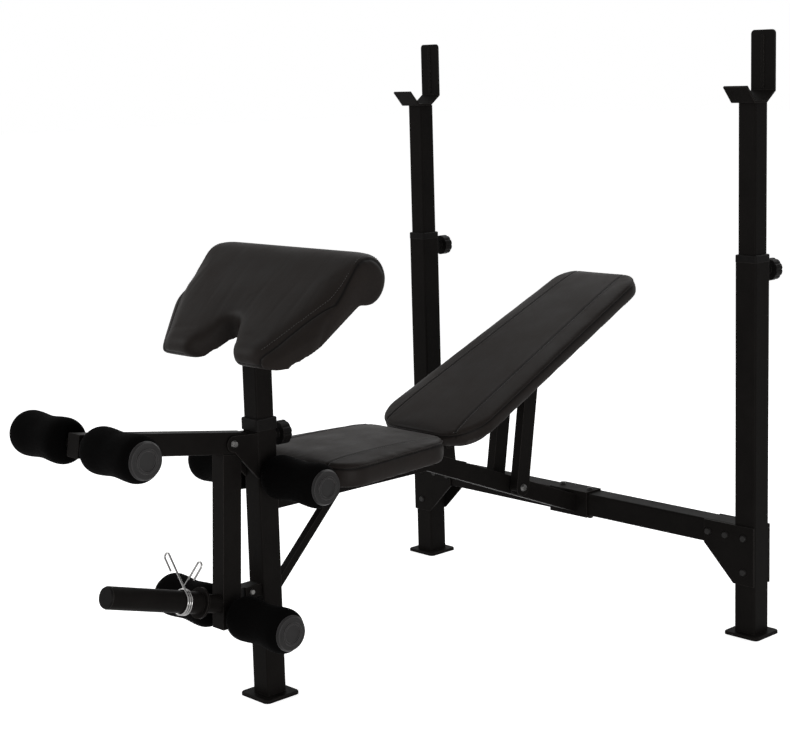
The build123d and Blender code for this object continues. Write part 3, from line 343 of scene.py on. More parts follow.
def metal_coat(name, colour, roughness, grain, bump, edge_gain):
    """Coated or bare hard surface: fine grain, mottled gloss, rounded-edge normals, and a painted highlight that
    lightens the colour along edges.
    """
    material, tree, shader, where = new_material(name)
    texture = use_group(tree, grain_group(), {
        "Vector": where, "Grain Scale": grain, "Mottle Scale": 14.0, "Pebble": 0.35})
    edge = use_group(tree, softened_edge_group(), {"Radius": 0.0018, "Gain": 5.0})
    body = blend_colour(
        tree, texture.outputs["Mottle"], rgba(colour, 0.86), rgba(colour, 1.16))
    # Painted highlight: the edge mask lightens the base colour along every edge by edge_gain.
    edge_painted_highlight = blend_colour(tree, edge.outputs["Mask"], body, rgba(colour, edge_gain))
    tree.links.new(edge_painted_highlight, shader.inputs["Base Color"])
    gloss = spread_value(tree, texture.outputs["Mottle"], roughness - 0.05, roughness + 0.07)
    tree.links.new(gloss, shader.inputs["Roughness"])
    relief = place(tree, "ShaderNodeBump", {
        "Strength": bump, "Distance": 0.0002, "Height": texture.outputs["Height"],
        "Normal": edge.outputs["Normal"]})
    tree.links.new(relief.outputs["Normal"], shader.inputs["Normal"])
    return material, shader


def powder_coat():
    """Satin black powder coat with a faint orange peel and a painted highlight that lightens its edges."""
    material, shader = metal_coat("Powder_coat", finishes().powder, 0.45, 950.0, 0.22, 6.0)
    shader.inputs["Specular IOR Level"].default_value = 0.014
    return material


def moulded_plastic():
    """Matte moulded plastic with a fine spark texture."""
    material, shader = metal_coat("Moulded_plastic", finishes().plastic, 0.42, 1400.0, 0.3, 4.0)
    shader.inputs["Specular IOR Level"].default_value = 0.1
    return material


def dark_plastic():
    """Deep black moulded plastic."""
    material, shader = metal_coat("Dark_plastic", finishes().knob, 0.42, 1400.0, 0.3, 4.0)
    shader.inputs["Specular IOR Level"].default_value = 0.025
    return material


def black_oxide():
    """Black bolts, a little glossier than the coat."""
    material, shader = metal_coat("Black_oxide", finishes().powder, 0.33, 1200.0, 0.12, 3.0)
    shader.inputs["Specular IOR Level"].default_value = 0.15
    return material


def rubber_bumper():
    """Dull black rubber."""
    material, shader = metal_coat("Rubber_bumper", finishes().foam, 0.72, 700.0, 0.3, 1.5)
    shader.inputs["Specular IOR Level"].default_value = 0.2
    return material


def bare_metal(name, colour, roughness, grain):
    """Plated metal with fine drawn lines and mottled gloss."""
    material, tree, shader, where = new_material(name)
    texture = use_group(tree, grain_group(), {
        "Vector": where, "Grain Scale": grain, "Mottle Scale": 60.0, "Pebble": 0.2})
    edge = use_group(tree, softened_edge_group(), {"Radius": 0.0008, "Gain": 4.0})
    body = blend_colour(
        tree, texture.outputs["Mottle"], rgba(colour, 0.85), rgba(colour, 1.1))
    tree.links.new(body, shader.inputs["Base Color"])
    shader.inputs["Metallic"].default_value = 1.0
    gloss = spread_value(tree, texture.outputs["Mottle"], roughness * 0.75, roughness * 1.3)
    tree.links.new(gloss, shader.inputs["Roughness"])
    relief = place(tree, "ShaderNodeBump", {
        "Strength": 0.1, "Distance": 0.0002, "Height": texture.outputs["Height"],
        "Normal": edge.outputs["Normal"]})
    tree.links.new(relief.outputs["Normal"], shader.inputs["Normal"])
    return material


def plated_wire():
    """Bright plated spring wire."""
    return bare_metal("Plated_wire", finishes().wire, 0.14, 900.0)


def zinc_plate():
    """Zinc plated bolts and screws."""
    return bare_metal("Zinc_plate", finishes().zinc, 0.32, 900.0)


def backing_board():
    """Black-stained board: long grain along the bench, from noise stretched by a Mapping node."""
    material, tree, shader, where = new_material("Backing_board")
    stretch = place(tree, "ShaderNodeMapping", {"Vector": where, "Scale": (60.0, 4.0, 60.0)})
    grain = place(tree, "ShaderNodeTexNoise", {
        "Vector": stretch.outputs["Vector"], "Scale": 2.0, "Detail": 6.0, "Roughness": 0.7})
    colour = finishes().board
    body = blend_colour(tree, grain.outputs["Fac"], rgba(colour, 0.6), rgba(colour, 1.25))
    tree.links.new(body, shader.inputs["Base Color"])
    gloss = spread_value(tree, grain.outputs["Fac"], 0.6, 0.85)
    tree.links.new(gloss, shader.inputs["Roughness"])
    relief = place(tree, "ShaderNodeBump", {
        "Strength": 0.25, "Distance": 0.0004, "Height": grain.outputs["Fac"]})
    tree.links.new(relief.outputs["Normal"], shader.inputs["Normal"])
    shader.inputs["Specular IOR Level"].default_value = 0.2
    return material


def cover_vinyl():
    """Black upholstery vinyl: pebbled grain, soft creases, and painted shade as dark lines in the seam grooves.

    The seam attribute is 1 on a seam and fades to 0 beside it; there it darkens the colour as painted shade.
    """
    material, tree, shader, where = new_material("Cover_vinyl")
    colour = finishes().vinyl
    texture = use_group(tree, grain_group(), {
        "Vector": where, "Grain Scale": 620.0, "Mottle Scale": 11.0, "Pebble": 0.65})
    stretch = place(tree, "ShaderNodeMapping", {"Vector": where, "Scale": (46.0, 9.0, 9.0)})
    crease = place(tree, "ShaderNodeTexNoise", {
        "Vector": stretch.outputs["Vector"], "Scale": 1.0, "Detail": 4.0, "Roughness": 0.55,
        "Distortion": 0.4})
    seam = place(tree, "ShaderNodeAttribute", attribute_name="seam")
    body = blend_colour(
        tree, texture.outputs["Mottle"], rgba(colour, 0.82), rgba(colour, 1.22))
    # Painted shade: along the seam grooves the colour falls to 0.08 of the vinyl's.
    sewn = blend_colour(tree, seam.outputs["Fac"], body, rgba(colour, 0.08))
    tree.links.new(sewn, shader.inputs["Base Color"])
    gloss = spread_value(tree, texture.outputs["Mottle"], 0.46, 0.61)
    tree.links.new(gloss, shader.inputs["Roughness"])
    folds = place(tree, "ShaderNodeBump", {
        "Strength": 0.22, "Distance": 0.0016, "Height": crease.outputs["Fac"]})
    relief = place(tree, "ShaderNodeBump", {
        "Strength": 0.34, "Distance": 0.0004, "Height": texture.outputs["Height"],
        "Normal": folds.outputs["Normal"]})
    tree.links.new(relief.outputs["Normal"], shader.inputs["Normal"])
    shader.inputs["Specular IOR Level"].default_value = 0.065
    return material


def closed_cell_foam():
    """Matte closed-cell foam: fine pores and slow shading."""
    material, tree, shader, where = new_material("Closed_cell_foam")
    colour = finishes().foam
    texture = use_group(tree, grain_group(), {
        "Vector": where, "Grain Scale": 420.0, "Mottle Scale": 26.0, "Pebble": 0.55})
    body = blend_colour(
        tree, texture.outputs["Mottle"], rgba(colour, 0.75), rgba(colour, 1.35))
    tree.links.new(body, shader.inputs["Base Color"])
    gloss = spread_value(tree, texture.outputs["Mottle"], 0.8, 0.95)
    tree.links.new(gloss, shader.inputs["Roughness"])
    relief = place(tree, "ShaderNodeBump", {
        "Strength": 0.5, "Distance": 0.0006, "Height": texture.outputs["Height"]})
    tree.links.new(relief.outputs["Normal"], shader.inputs["Normal"])
    shader.inputs["Specular IOR Level"].default_value = 0.015
    return material


def sewing_thread():
    """Twisted thread: fine slanting lines."""
    material, tree, shader, where = new_material("Sewing_thread")
    colour = finishes().thread
    twist = place(tree, "ShaderNodeTexNoise", {
        "Vector": where, "Scale": 1800.0, "Detail": 2.0})
    body = blend_colour(tree, twist.outputs["Fac"], rgba(colour, 0.7), rgba(colour, 1.3))
    tree.links.new(body, shader.inputs["Base Color"])
    gloss = spread_value(tree, twist.outputs["Fac"], 0.5, 0.7)
    tree.links.new(gloss, shader.inputs["Roughness"])
    return material


def rays_that_see(tree):
    """1 for rays that look at a surface, straight or by a mirror or glass, and 0 for the rest."""
    path = place(tree, "ShaderNodeLightPath")
    seen = place(
        tree, "ShaderNodeMath",
        {0: path.outputs["Is Camera Ray"], 1: path.outputs["Is Glossy Ray"]}, operation="MAXIMUM")
    return place(
        tree, "ShaderNodeMath",
        {0: seen.outputs[0], 1: path.outputs["Is Transmission Ray"]}, operation="MAXIMUM").outputs[0]


def studio_floor():
    """Pale floor that keeps the bench's shadow and looks white to the camera where it is lit."""
    material, tree, shader, where = new_material("Studio_floor")
    own_white = 0.69
    glow = place(
        tree, "ShaderNodeMath", {0: rays_that_see(tree), 1: own_white}, operation="MULTIPLY")
    white = place(
        tree, "ShaderNodeEmission", {"Color": (1.0, 1.0, 1.0, 1.0), "Strength": glow.outputs[0]})
    both = place(tree, "ShaderNodeAddShader", {0: shader.outputs[0], 1: white.outputs[0]})
    tree.links.new(both.outputs[0], tree.nodes["Material Output"].inputs["Surface"])
    cloud = place(tree, "ShaderNodeTexNoise", {"Vector": where, "Scale": 0.8, "Detail": 3.0})
    colour = finishes().floor
    body = blend_colour(tree, cloud.outputs["Fac"], rgba(colour, 0.99), rgba(colour, 1.01))
    tree.links.new(body, shader.inputs["Base Color"])
    shader.inputs["Roughness"].default_value = 0.9
    shader.inputs["Specular IOR Level"].default_value = 0.1
    return material


MATERIAL_OF_SLOT = {
    "powder_coat": powder_coat,
    "vinyl": cover_vinyl,
    "foam": closed_cell_foam,
    "board": backing_board,
    "black_plastic": moulded_plastic,
    "bumper": rubber_bumper,
    "chrome_wire": plated_wire,
    "zinc": zinc_plate,
    "black_bolts": black_oxide,
}


def finish_of(slot):
    """The material of a slot, made once."""
    name = MATERIAL_OF_SLOT[slot].__name__.capitalize()
    return bpy.data.materials.get(name) or MATERIAL_OF_SLOT[slot]()


# Meshes

def piece_from(name, mesh, body, slot):
    """Link a mesh as a piece that rides on a body and takes a slot's finish."""
    obj = bpy.data.objects.new(name, mesh)
    bpy.context.scene.collection.objects.link(obj)
    mesh.materials.clear()
    mesh.materials.append(finish_of(slot))
    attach(obj, body)
    return obj


def grid_mesh(name, grids, wrap_rows=False):
    """One mesh from equal grids of points, shaped (pieces, rows, columns, 3).

    Columns close on themselves, and rows do too where wrap_rows says so. Points that fall together,
    as at a pole, are merged, and the faces are turned outwards.
    """
    pieces, rows, columns = grids.shape[:3]
    index = np.arange(pieces * rows * columns).reshape(pieces, rows, columns)
    if wrap_rows:
        index = np.concatenate([index, index[:, :1]], axis=1)
    index = np.concatenate([index, index[:, :, :1]], axis=2)
    quads = np.stack(
        [index[:, :-1, :-1], index[:, :-1, 1:], index[:, 1:, 1:], index[:, 1:, :-1]], axis=-1)
    mesh = bpy.data.meshes.new(name)
    mesh.from_pydata(grids.reshape(-1, 3).tolist(), [], quads.reshape(-1, 4).tolist())
    shell = bmesh.new()
    shell.from_mesh(mesh)
    bmesh.ops.remove_doubles(shell, verts=shell.verts, dist=1e-6)
    bmesh.ops.recalc_face_normals(shell, faces=shell.faces)
    shell.to_mesh(mesh)
    shell.free()
    mesh.shade_smooth()
    return mesh


def turned_grid(profile, centre, turns):
    """A profile of (X, radius) carried round an X axis through centre, shaped (1, rows, turns, 3).

    Each point is at X along the axis and at radius times cosine and sine of the turn across it.
    """
    angle = np.linspace(0.0, 2.0 * np.pi, turns, endpoint=False)
    along = np.repeat(profile[:, :1], turns, axis=1)
    across = profile[:, 1:] * np.cos(angle)[None]
    up = profile[:, 1:] * np.sin(angle)[None]
    return (np.stack([along, across, up], axis=-1) + np.array(centre))[None]


def points_of(mesh, field="co"):
    """A mesh's points, or its point normals, as rows of three."""
    values = np.empty(len(mesh.vertices) * 3)
    mesh.vertices.foreach_get(field, values)
    return values.reshape(-1, 3)


def move_points(mesh, points):
    """Put a mesh's points at new places."""
    mesh.vertices.foreach_set("co", points.ravel())
    mesh.update()


def applied(obj):
    """Put the result of an object's modifiers into its mesh and drop the modifiers."""
    graph = bpy.context.evaluated_depsgraph_get()
    mesh = bpy.data.meshes.new_from_object(obj.evaluated_get(graph))
    obj.modifiers.clear()
    obj.data = mesh
    return obj


def soften_part(obj, weight, rounds, push):
    """Smooth a mesh in rounds by a weight from 0 to 1 at each point, then push it out as it shrank.

    The weight goes to the vertex group in tenths.
    """
    group = obj.vertex_groups.new(name="soft")
    tenths = np.round(weight * 10.0)
    for step in range(1, 11):
        group.add(np.flatnonzero(tenths == step).tolist(), step / 10.0, "REPLACE")
    soften = obj.modifiers.new("Soften part", "SMOOTH")
    soften.factor = 0.5
    soften.iterations = rounds
    soften.vertex_group = "soft"
    applied(obj)
    obj.vertex_groups.clear()
    points = points_of(obj.data) + points_of(obj.data, "normal") * (weight * push)[:, None]
    move_points(obj.data, points)


def cover_start(node, name, rounds):
    """A merged copy of a pad's solid, remeshed evenly, smoothed in rounds and drawn in a little."""
    sizes = upholstery()
    mesh = frame["nodes"][node].data.copy()
    shell = bmesh.new()
    shell.from_mesh(mesh)
    bmesh.ops.remove_doubles(shell, verts=shell.verts, dist=1e-5)
    bmesh.ops.recalc_face_normals(shell, faces=shell.faces)
    shell.to_mesh(mesh)
    shell.free()
    obj = bpy.data.objects.new(name, mesh)
    bpy.context.scene.collection.objects.link(obj)
    remesh = obj.modifiers.new("Even", "REMESH")
    remesh.mode = "VOXEL"
    remesh.voxel_size = sizes.voxel
    soften = obj.modifiers.new("Soften", "SMOOTH")
    soften.factor = 0.5
    soften.iterations = rounds
    applied(obj)
    mesh = obj.data
    move_points(mesh, points_of(mesh) - points_of(mesh, "normal") * sizes.shrink)
    return obj


def stuff(obj, resting):
    """Swell a closed cover as cloth under pressure, holding the points that rest on the board."""
    sizes = upholstery()
    scene = bpy.context.scene
    steps = 20
    start = points_of(obj.data)
    hold = obj.vertex_groups.new(name="resting")
    hold.add(np.flatnonzero(resting).tolist(), 1.0, "REPLACE")
    cloth = obj.modifiers.new("Stuffing", "CLOTH")
    settings = cloth.settings
    settings.quality = 5
    settings.mass = 0.3
    settings.tension_stiffness = 12.0
    settings.compression_stiffness = 12.0
    settings.shear_stiffness = 6.0
    settings.bending_stiffness = 0.6
    settings.use_pressure = True
    settings.uniform_pressure_force = sizes.pressure
    settings.vertex_group_mass = "resting"
    settings.effector_weights.gravity = 0.0
    cloth.point_cache.frame_start = 1
    cloth.point_cache.frame_end = steps
    for step in range(1, steps + 1):
        scene.frame_set(step)
    graph = bpy.context.evaluated_depsgraph_get()
    moved = points_of(obj.evaluated_get(graph).data) - start
    obj.modifiers.clear()
    obj.vertex_groups.clear()
    scene.frame_set(1)
    length = np.linalg.norm(moved, axis=1, keepdims=True)
    capped = moved * np.minimum(1.0, sizes.swell / np.maximum(length, 1e-9))
    move_points(obj.data, start + capped)


def sew(obj, gap_of, along_of, allowed):
    """Draw a cover in along its seams, with small puckers beside them, and mark them for the vinyl's painted
    shade.

    The groove is depth times exp(-(gap / width)^2), and the swell beside it and the painted shade line on it
    have the same form. Puckers are a sine along the seam, whose pitch drifts, and fade with the distance from it.
    """
    sizes = upholstery()
    swell_place, swell_width, swell_height = 0.007, 0.004, 0.0003
    pucker_pitch, pucker_drift, pucker_reach, pucker_depth = 0.019, 41.0, 0.009, 0.0004
    seam_shade_width = 0.0024
    mesh = obj.data
    points = points_of(mesh)
    normal = points_of(mesh, "normal")
    gap = np.abs(gap_of(points))
    along = along_of(points)
    share = allowed(points)
    groove = np.exp(-(gap / sizes.seam_width) ** 2) * share
    swell = np.exp(-((gap - swell_place) / swell_width) ** 2) * share
    wave = 0.6 + 0.4 * np.sin(along * 2.0 * np.pi / pucker_pitch + np.sin(along * pucker_drift))
    pucker = wave * np.exp(-gap / pucker_reach) * pucker_depth * share
    move = swell * swell_height - groove * sizes.seam_depth - pucker
    move_points(mesh, points + normal * move[:, None])
    # The seam attribute carries painted shade: a dark line along each seam groove.
    mark = mesh.attributes.new("seam", "FLOAT", "POINT")
    mark.data.foreach_set("value", np.exp(-(gap / seam_shade_width) ** 2) * share)


def tree_of(cover):
    """A search tree over a cover's faces, which are all quads after its subdivision."""
    mesh = cover.data
    corners = np.empty(len(mesh.loops), dtype=np.int32)
    mesh.loops.foreach_get("vertex_index", corners)
    return BVHTree.FromPolygons(points_of(mesh).tolist(), corners.reshape(-1, 4).tolist())


def laid_on(tree, path):
    """The places on a cover that are nearest to a path's points, and the normals there."""
    hits = [tree.find_nearest(Vector(point)) for point in path]
    return np.array([hit[0] for hit in hits]), np.array([hit[1] for hit in hits])


def stitch_rows(name, cover, paths, body):
    """Stitches along paths that are laid onto a cover: short capsules, one grid for each stitch.

    A capsule's rows run along the stitch, from u = -1 to 1, with radius r * sqrt(1 - u^4), and sag into
    the cover at the ends.
    """
    sizes = upholstery()
    thickness, crest, sag = 0.00055, 0.0004, 0.0006
    tree = tree_of(cover)
    mids, ways, ups = [], [], []
    for path in paths:
        spots, rise = laid_on(tree, path)
        step = np.linalg.norm(np.diff(spots, axis=0), axis=1)
        reach = np.concatenate([[0.0], np.cumsum(step)])
        at = np.arange(sizes.stitch, reach[-1], sizes.stitch)
        middle = np.stack([np.interp(at, reach, spots[:, k]) for k in range(3)], axis=1)
        ahead = np.stack([np.interp(at + 0.002, reach, spots[:, k]) for k in range(3)], axis=1)
        up = np.stack([np.interp(at, reach, rise[:, k]) for k in range(3)], axis=1)
        mids.append(middle)
        ways.append(ahead - middle)
        ups.append(up)
    middle = np.concatenate(mids)
    way = np.concatenate(ways)
    up = np.concatenate(ups)
    keep = np.linalg.norm(way, axis=1) > 1e-6
    middle, way, up = middle[keep], way[keep], up[keep]
    way /= np.linalg.norm(way, axis=1, keepdims=True)
    across = np.cross(way, up)
    across /= np.linalg.norm(across, axis=1, keepdims=True)
    up = np.cross(across, way)
    u = np.linspace(-1.0, 1.0, 6)
    turn = np.linspace(0.0, 2.0 * np.pi, 6, endpoint=False)
    radius = thickness * np.sqrt(np.maximum(0.0, 1.0 - u ** 4))
    lift = crest - sag * u ** 2
    half = sizes.stitch * 0.36
    grid = (
        middle[:, None, None] + way[:, None, None] * (u * half)[None, :, None, None]
        + up[:, None, None] * (lift[:, None] + radius[:, None] * np.sin(turn))[None, :, :, None]
        + across[:, None, None] * (radius[:, None] * np.cos(turn))[None, :, :, None])
    mesh = grid_mesh(name, grid)
    obj = piece_from(name, mesh, body, "vinyl")
    mesh.materials.clear()
    mesh.materials.append(bpy.data.materials.get("Sewing_thread") or sewing_thread())
    return obj


def pad_cover(
        node, name, body, resting_of, gap_of, along_of, allowed, soft_of=None, shape=None):
    """One stuffed and sewn pad in place of its solid, softened and given its last shape where asked."""
    obj = cover_start(node, name, 3)
    if soft_of:
        soften_part(obj, soft_of(points_of(obj.data)), 60, 0.003)
    stuff(obj, resting_of(points_of(obj.data)))
    round_off = obj.modifiers.new("Round", "SUBSURF")
    round_off.levels = 1
    round_off.render_levels = 1
    applied(obj)
    obj.data.name = name
    if shape:
        shape(obj)
    sew(obj, gap_of, along_of, allowed)
    obj.data.materials.clear()
    obj.data.materials.append(finish_of("vinyl"))
    obj.data.shade_smooth()
    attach(obj, body)
    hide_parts(node)
    return obj


def spread_path(corners, count):
    """Points spread evenly along a line through corners."""
    step = np.linalg.norm(np.diff(corners, axis=0), axis=1)
    reach = np.concatenate([[0.0], np.cumsum(step)])
    at = np.linspace(0.0, reach[-1], count)
    return np.stack([np.interp(at, reach, column) for column in corners.T], axis=1)


def rounded_outline(corners, radii, count):
    """Points along a closed outline of straight sides with an arc of a given radius at each corner.

    An arc's centre is radius / sin(half the corner's angle) from the corner, along its bisector, and
    the arc runs between the two sides' normals there.
    """
    corners = np.array(corners)
    turn = np.linspace(0.0, 1.0, 24)
    arcs = []
    for k, radius in enumerate(radii):
        back = corners[k - 1] - corners[k]
        ahead = corners[(k + 1) % len(corners)] - corners[k]
        back /= np.linalg.norm(back)
        ahead /= np.linalg.norm(ahead)
        half = 0.5 * math.acos(back @ ahead)
        middle = (back + ahead) / np.linalg.norm(back + ahead)
        centre = corners[k] + middle * radius / math.sin(half)
        spoke = corners[k] + back * radius / math.tan(half) - centre
        first = math.atan2(spoke[1], spoke[0])
        angle = first + turn * (math.pi - 2.0 * half)
        arcs.append(centre + radius * np.stack([np.cos(angle), np.sin(angle)], axis=1))
    return spread_path(np.concatenate(arcs + [arcs[0][:1]]), count)[:-1]


def sewn_lip(name, cover, path, body):
    """A round lip laid along a closed path on a cover: a circle carried along it, half sunk in."""
    radius = upholstery().welt
    spots, up = laid_on(tree_of(cover), path)
    for _ in range(4):
        spots = (np.roll(spots, 1, axis=0) + 2.0 * spots + np.roll(spots, -1, axis=0)) / 4.0
        up = (np.roll(up, 1, axis=0) + 2.0 * up + np.roll(up, -1, axis=0)) / 4.0
    up /= np.linalg.norm(up, axis=1, keepdims=True)
    way = np.roll(spots, -1, axis=0) - np.roll(spots, 1, axis=0)
    across = np.cross(way, up)
    across /= np.linalg.norm(across, axis=1, keepdims=True)
    turn = np.linspace(0.0, 2.0 * np.pi, 8, endpoint=False)
    ring = (
        (spots + up * radius * 0.25)[:, None]
        + up[:, None] * (radius * np.sin(turn))[None, :, None]
        + across[:, None] * (radius * np.cos(turn))[None, :, None])
    return piece_from(name, grid_mesh(name, ring[None], True), body, "vinyl")


def off_seat(points):
    """Height of points above the seat pad's underside."""
    return points[:, 2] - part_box("seat_pad")[0][2]


def off_backrest(points):
    """Height of points above the backrest pad's underside, square to it."""
    return (points - HINGE) @ OFF_BACK - BACK_UNDER


def back_half_width(along):
    """The backrest pad's half width, which narrows evenly from the hinge end to the head end."""
    share = (along - BACK_START) / BACK_LENGTH
    return BACK_HALF_LOW + (BACK_HALF_HEAD - BACK_HALF_LOW) * share


def sharpest(*gaps):
    """The gap to the nearest of several seams."""
    return np.min(np.abs(np.stack(gaps)), axis=0)


def make_seat_pad():
    """Seat: a three-panel top with straight seams, and a seam along its upper edge."""
    sizes = upholstery()
    low, high = (np.array(corner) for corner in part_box("seat_pad"))
    line = sizes.seat_seam
    edge = 0.048
    obj = pad_cover(
        "seat_pad", "seat_cover", "frame",
        lambda p: off_seat(p) < 0.009,
        lambda p: sharpest(np.abs(p[:, 0]) - line, off_seat(p) - edge + SEAM_SIDE),
        lambda p: p[:, 0] + p[:, 1],
        lambda p: np.clip((off_seat(p) - 0.034) / 0.008, 0.0, 1.0))
    paths = []
    for side in (-1.0, 1.0):
        x = side * (line + SEAM_SIDE)
        corners = np.array([
            [x, low[1] - 0.01, high[2] - 0.012], [x, low[1] + 0.03, high[2] + 0.01],
            [x, high[1] - 0.03, high[2] + 0.01], [x, high[1] + 0.01, high[2] - 0.012]])
        paths.append(spread_path(corners, 400))
    stitch_rows("seat_stitches", obj, paths, "frame")
    outline = rounded_outline(
        [(-0.195, low[1]), (0.195, low[1]), (0.155, high[1]), (-0.155, high[1])],
        (0.066, 0.066, 0.06, 0.06), 500)
    path = np.column_stack([outline, np.full(len(outline), low[2] + edge)])
    sewn_lip("seat_edge_seam", obj, path, "frame")


def on_backrest(across, along, off):
    """Places on the backrest from their distance across, along it and above its underside."""
    spots = HINGE + np.outer(along, ALONG_BACK) + np.outer(off, OFF_BACK) + OFF_BACK * BACK_UNDER
    spots[:, 0] += across
    return spots


def make_backrest_pad():
    """Backrest: a tapered three-panel cover, its seams at an even distance from the sides."""
    sizes = upholstery()
    inset = sizes.back_seam
    edge = 0.036
    obj = pad_cover(
        "backrest_pad", "backrest_cover", "backrest",
        lambda p: off_backrest(p) < 0.009,
        lambda p: sharpest(
            np.abs(p[:, 0]) - back_half_width((p - HINGE) @ ALONG_BACK) + inset,
            off_backrest(p) - edge + SEAM_SIDE),
        lambda p: (p - HINGE) @ ALONG_BACK + p[:, 0],
        lambda p: np.clip((off_backrest(p) - 0.024) / 0.006, 0.0, 1.0))
    along = np.array([-0.07, -0.04, 0.7, 0.73])
    off = np.array([0.036, 0.06, 0.06, 0.036])
    paths = []
    for side in (-1.0, 1.0):
        across = side * (back_half_width(along) - inset + SEAM_SIDE)
        paths.append(spread_path(on_backrest(across, along, off), 700))
    stitch_rows("backrest_stitches", obj, paths, "backrest")
    outline = rounded_outline(
        [(-0.179, -0.068), (0.179, -0.068), (0.138, 0.723), (-0.138, 0.723)],
        (0.095, 0.095, 0.06, 0.06), 700)
    path = on_backrest(outline[:, 0], outline[:, 1], np.full(len(outline), edge))
    sewn_lip("backrest_edge_seam", obj, path, "backrest")


def off_arm_pad(points):
    """Height of points above the arm pad's underside, square to it."""
    return (points - ARM_UNDER) @ OFF_UNDER


def arm_seam(up_slope):
    """Half width at the arm pad's side seams: wide at the roll and drawn in towards the nose."""
    return np.interp(up_slope, (-0.16, 0.015), (0.172, 0.2635))


def round_shoulders(obj):
    """Let the arm pad's face fall away to its side seams: a drop of exp(-(gap / width)^2) across each."""
    deepest, width = 0.007, 0.02
    mesh = obj.data
    points = points_of(mesh)
    up_slope = (points - ARM_HEART) @ UP_ARM
    gap = np.abs(points[:, 0]) - arm_seam(up_slope)
    upward = np.clip(points_of(mesh, "normal") @ OFF_ARM, 0.0, 1.0)
    fade = np.clip((0.06 - up_slope) / 0.05, 0.0, 1.0)
    drop = deepest * np.exp(-(gap / width) ** 2) * upward * fade
    move_points(mesh, points - OFF_ARM * drop[:, None])


def crease_arm_pad(obj):
    """Shallow creases up the face: a sum of narrow dips across X that fade towards the roll and nose."""
    mesh = obj.data
    points = points_of(mesh)
    normal = points_of(mesh, "normal")
    up_slope = (points - ARM_HEART) @ UP_ARM
    lean = points[:, 0] - 0.12 * up_slope * np.sin(points[:, 0] * 17.0)
    middle = np.array([-0.212, -0.171, -0.118, -0.067, -0.021, 0.034, 0.083, 0.127, 0.176, 0.214])
    width = np.array([7.0, 10.0, 6.0, 9.0, 12.0, 8.0, 11.0, 7.0, 9.0, 6.0]) * 0.001
    depth = np.array([0.5, 0.3, 0.2, 0.4, 0.2, 0.4, 0.2, 0.3, 0.5, 0.3]) * 0.001
    dips = np.exp(-((lean[:, None] - middle) / width) ** 2) @ depth
    fade = np.exp(-((up_slope + 0.02) / 0.075) ** 2) * np.clip(normal @ OFF_ARM, 0.0, 1.0)
    move_points(mesh, points - normal * (dips * fade)[:, None])


def make_arm_pad():
    """Arm pad: a roll-topped cover with sewn side panels and a notch for the chest."""
    nose_line = 0.024
    seam_inset = 0.004

    def soft_nose(points):
        """Weight of the softening: little at the roll, full at the nose, and none at the underside."""
        towards_nose = np.clip((0.075 - (points - ARM_HEART) @ UP_ARM) / 0.06, 0.08, 1.0)
        return towards_nose * np.clip((off_arm_pad(points) - 0.004) / 0.02, 0.0, 1.0)

    def gaps(points):
        """Gap to the side seams, and on the two lobes to the seam along the nose."""
        up_slope = (points - ARM_HEART) @ UP_ARM
        rise = off_arm_pad(points)
        across = np.abs(points[:, 0])
        on_lobe = (up_slope < -0.1) & (across > 0.1) & (across < arm_seam(up_slope) + 0.003)
        nose = np.where(on_lobe, rise - nose_line, 1.0)
        return sharpest(across - arm_seam(up_slope), nose)

    obj = pad_cover(
        "preacher_pad", "arm_pad_cover", "preacher",
        lambda p: off_arm_pad(p) < 0.008,
        gaps,
        lambda p: p[:, 0] + p[:, 1] + p[:, 2],
        lambda p: np.clip((off_arm_pad(p) - 0.012) / 0.01, 0.0, 1.0),
        soft_of=soft_nose, shape=round_shoulders)
    crease_arm_pad(obj)
    turn = np.linspace(math.radians(132.0), math.radians(-40.0), 200)
    roll = ROLL_HEART + ROLL_RADIUS * np.stack([np.cos(turn), np.sin(turn)], axis=1)
    face = ARM_HEART + np.outer(np.linspace(-0.15, 0.06, 200), UP_ARM) + 0.045 * OFF_ARM
    line = np.concatenate([face[:, 1:], roll])
    up_slope = (line - ARM_HEART[1:]) @ UP_ARM[1:]
    paths = []
    for side in (-1.0, 1.0):
        across = side * (arm_seam(up_slope) - seam_inset)
        paths.append(np.column_stack([across, line]))
    stitch_rows("arm_pad_stitches", obj, paths, "preacher")


def roller_profile(start, end, rim, waist, bore):
    """Closed profile of a foam roller as rows of (X, radius).

    From end to end the radius is rim less a sine squared dip to the waist. Each end turns in on a
    quarter ellipse to its flat face, and the bore closes the loop.
    """
    swell = 0.15 * (end - start)
    rounding = 0.015
    turn = np.linspace(0.0, 0.5 * np.pi, 14)
    first = np.stack(
        [start + swell * (1.0 - np.cos(turn)), rim - rounding + rounding * np.sin(turn)], axis=1)
    share = np.linspace(0.0, 1.0, 34)[1:-1]
    body = np.stack([
        start + swell + (end - start - 2.0 * swell) * share,
        rim - (rim - waist) * np.sin(np.pi * share) ** 2], axis=1)
    last = np.stack([start + end - first[::-1, 0], first[::-1, 1]], axis=1)
    face = np.linspace(rim - rounding, bore, 7)[1:]
    shut = np.stack([np.full(6, end), face], axis=1)
    back = np.linspace(end, start, 8)[1:]
    inside = np.stack([back, np.full(7, bore)], axis=1)
    open_face = np.stack([np.full(5, start), face[::-1][1:]], axis=1)
    return np.concatenate([first, body, last, shut, inside, open_face])


def make_rollers():
    """The six foam rollers, turned about their tubes."""
    turns = upholstery().roller_turns
    waist, bore = 0.0462, 0.0126
    for row in ("front", "low", "fixed"):
        for side in ("left", "right"):
            node = f"{row}_{side}_roller"
            low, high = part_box(node)
            centre = (0.0, (low[1] + high[1]) / 2.0, (low[2] + high[2]) / 2.0)
            profile = roller_profile(low[0], high[0], (high[2] - low[2]) / 2.0, waist, bore)
            mesh = grid_mesh(f"{row}_{side}_foam", turned_grid(profile, centre, turns), True)
            obj = piece_from(f"{row}_{side}_foam", mesh, node, "foam")
            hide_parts(node)


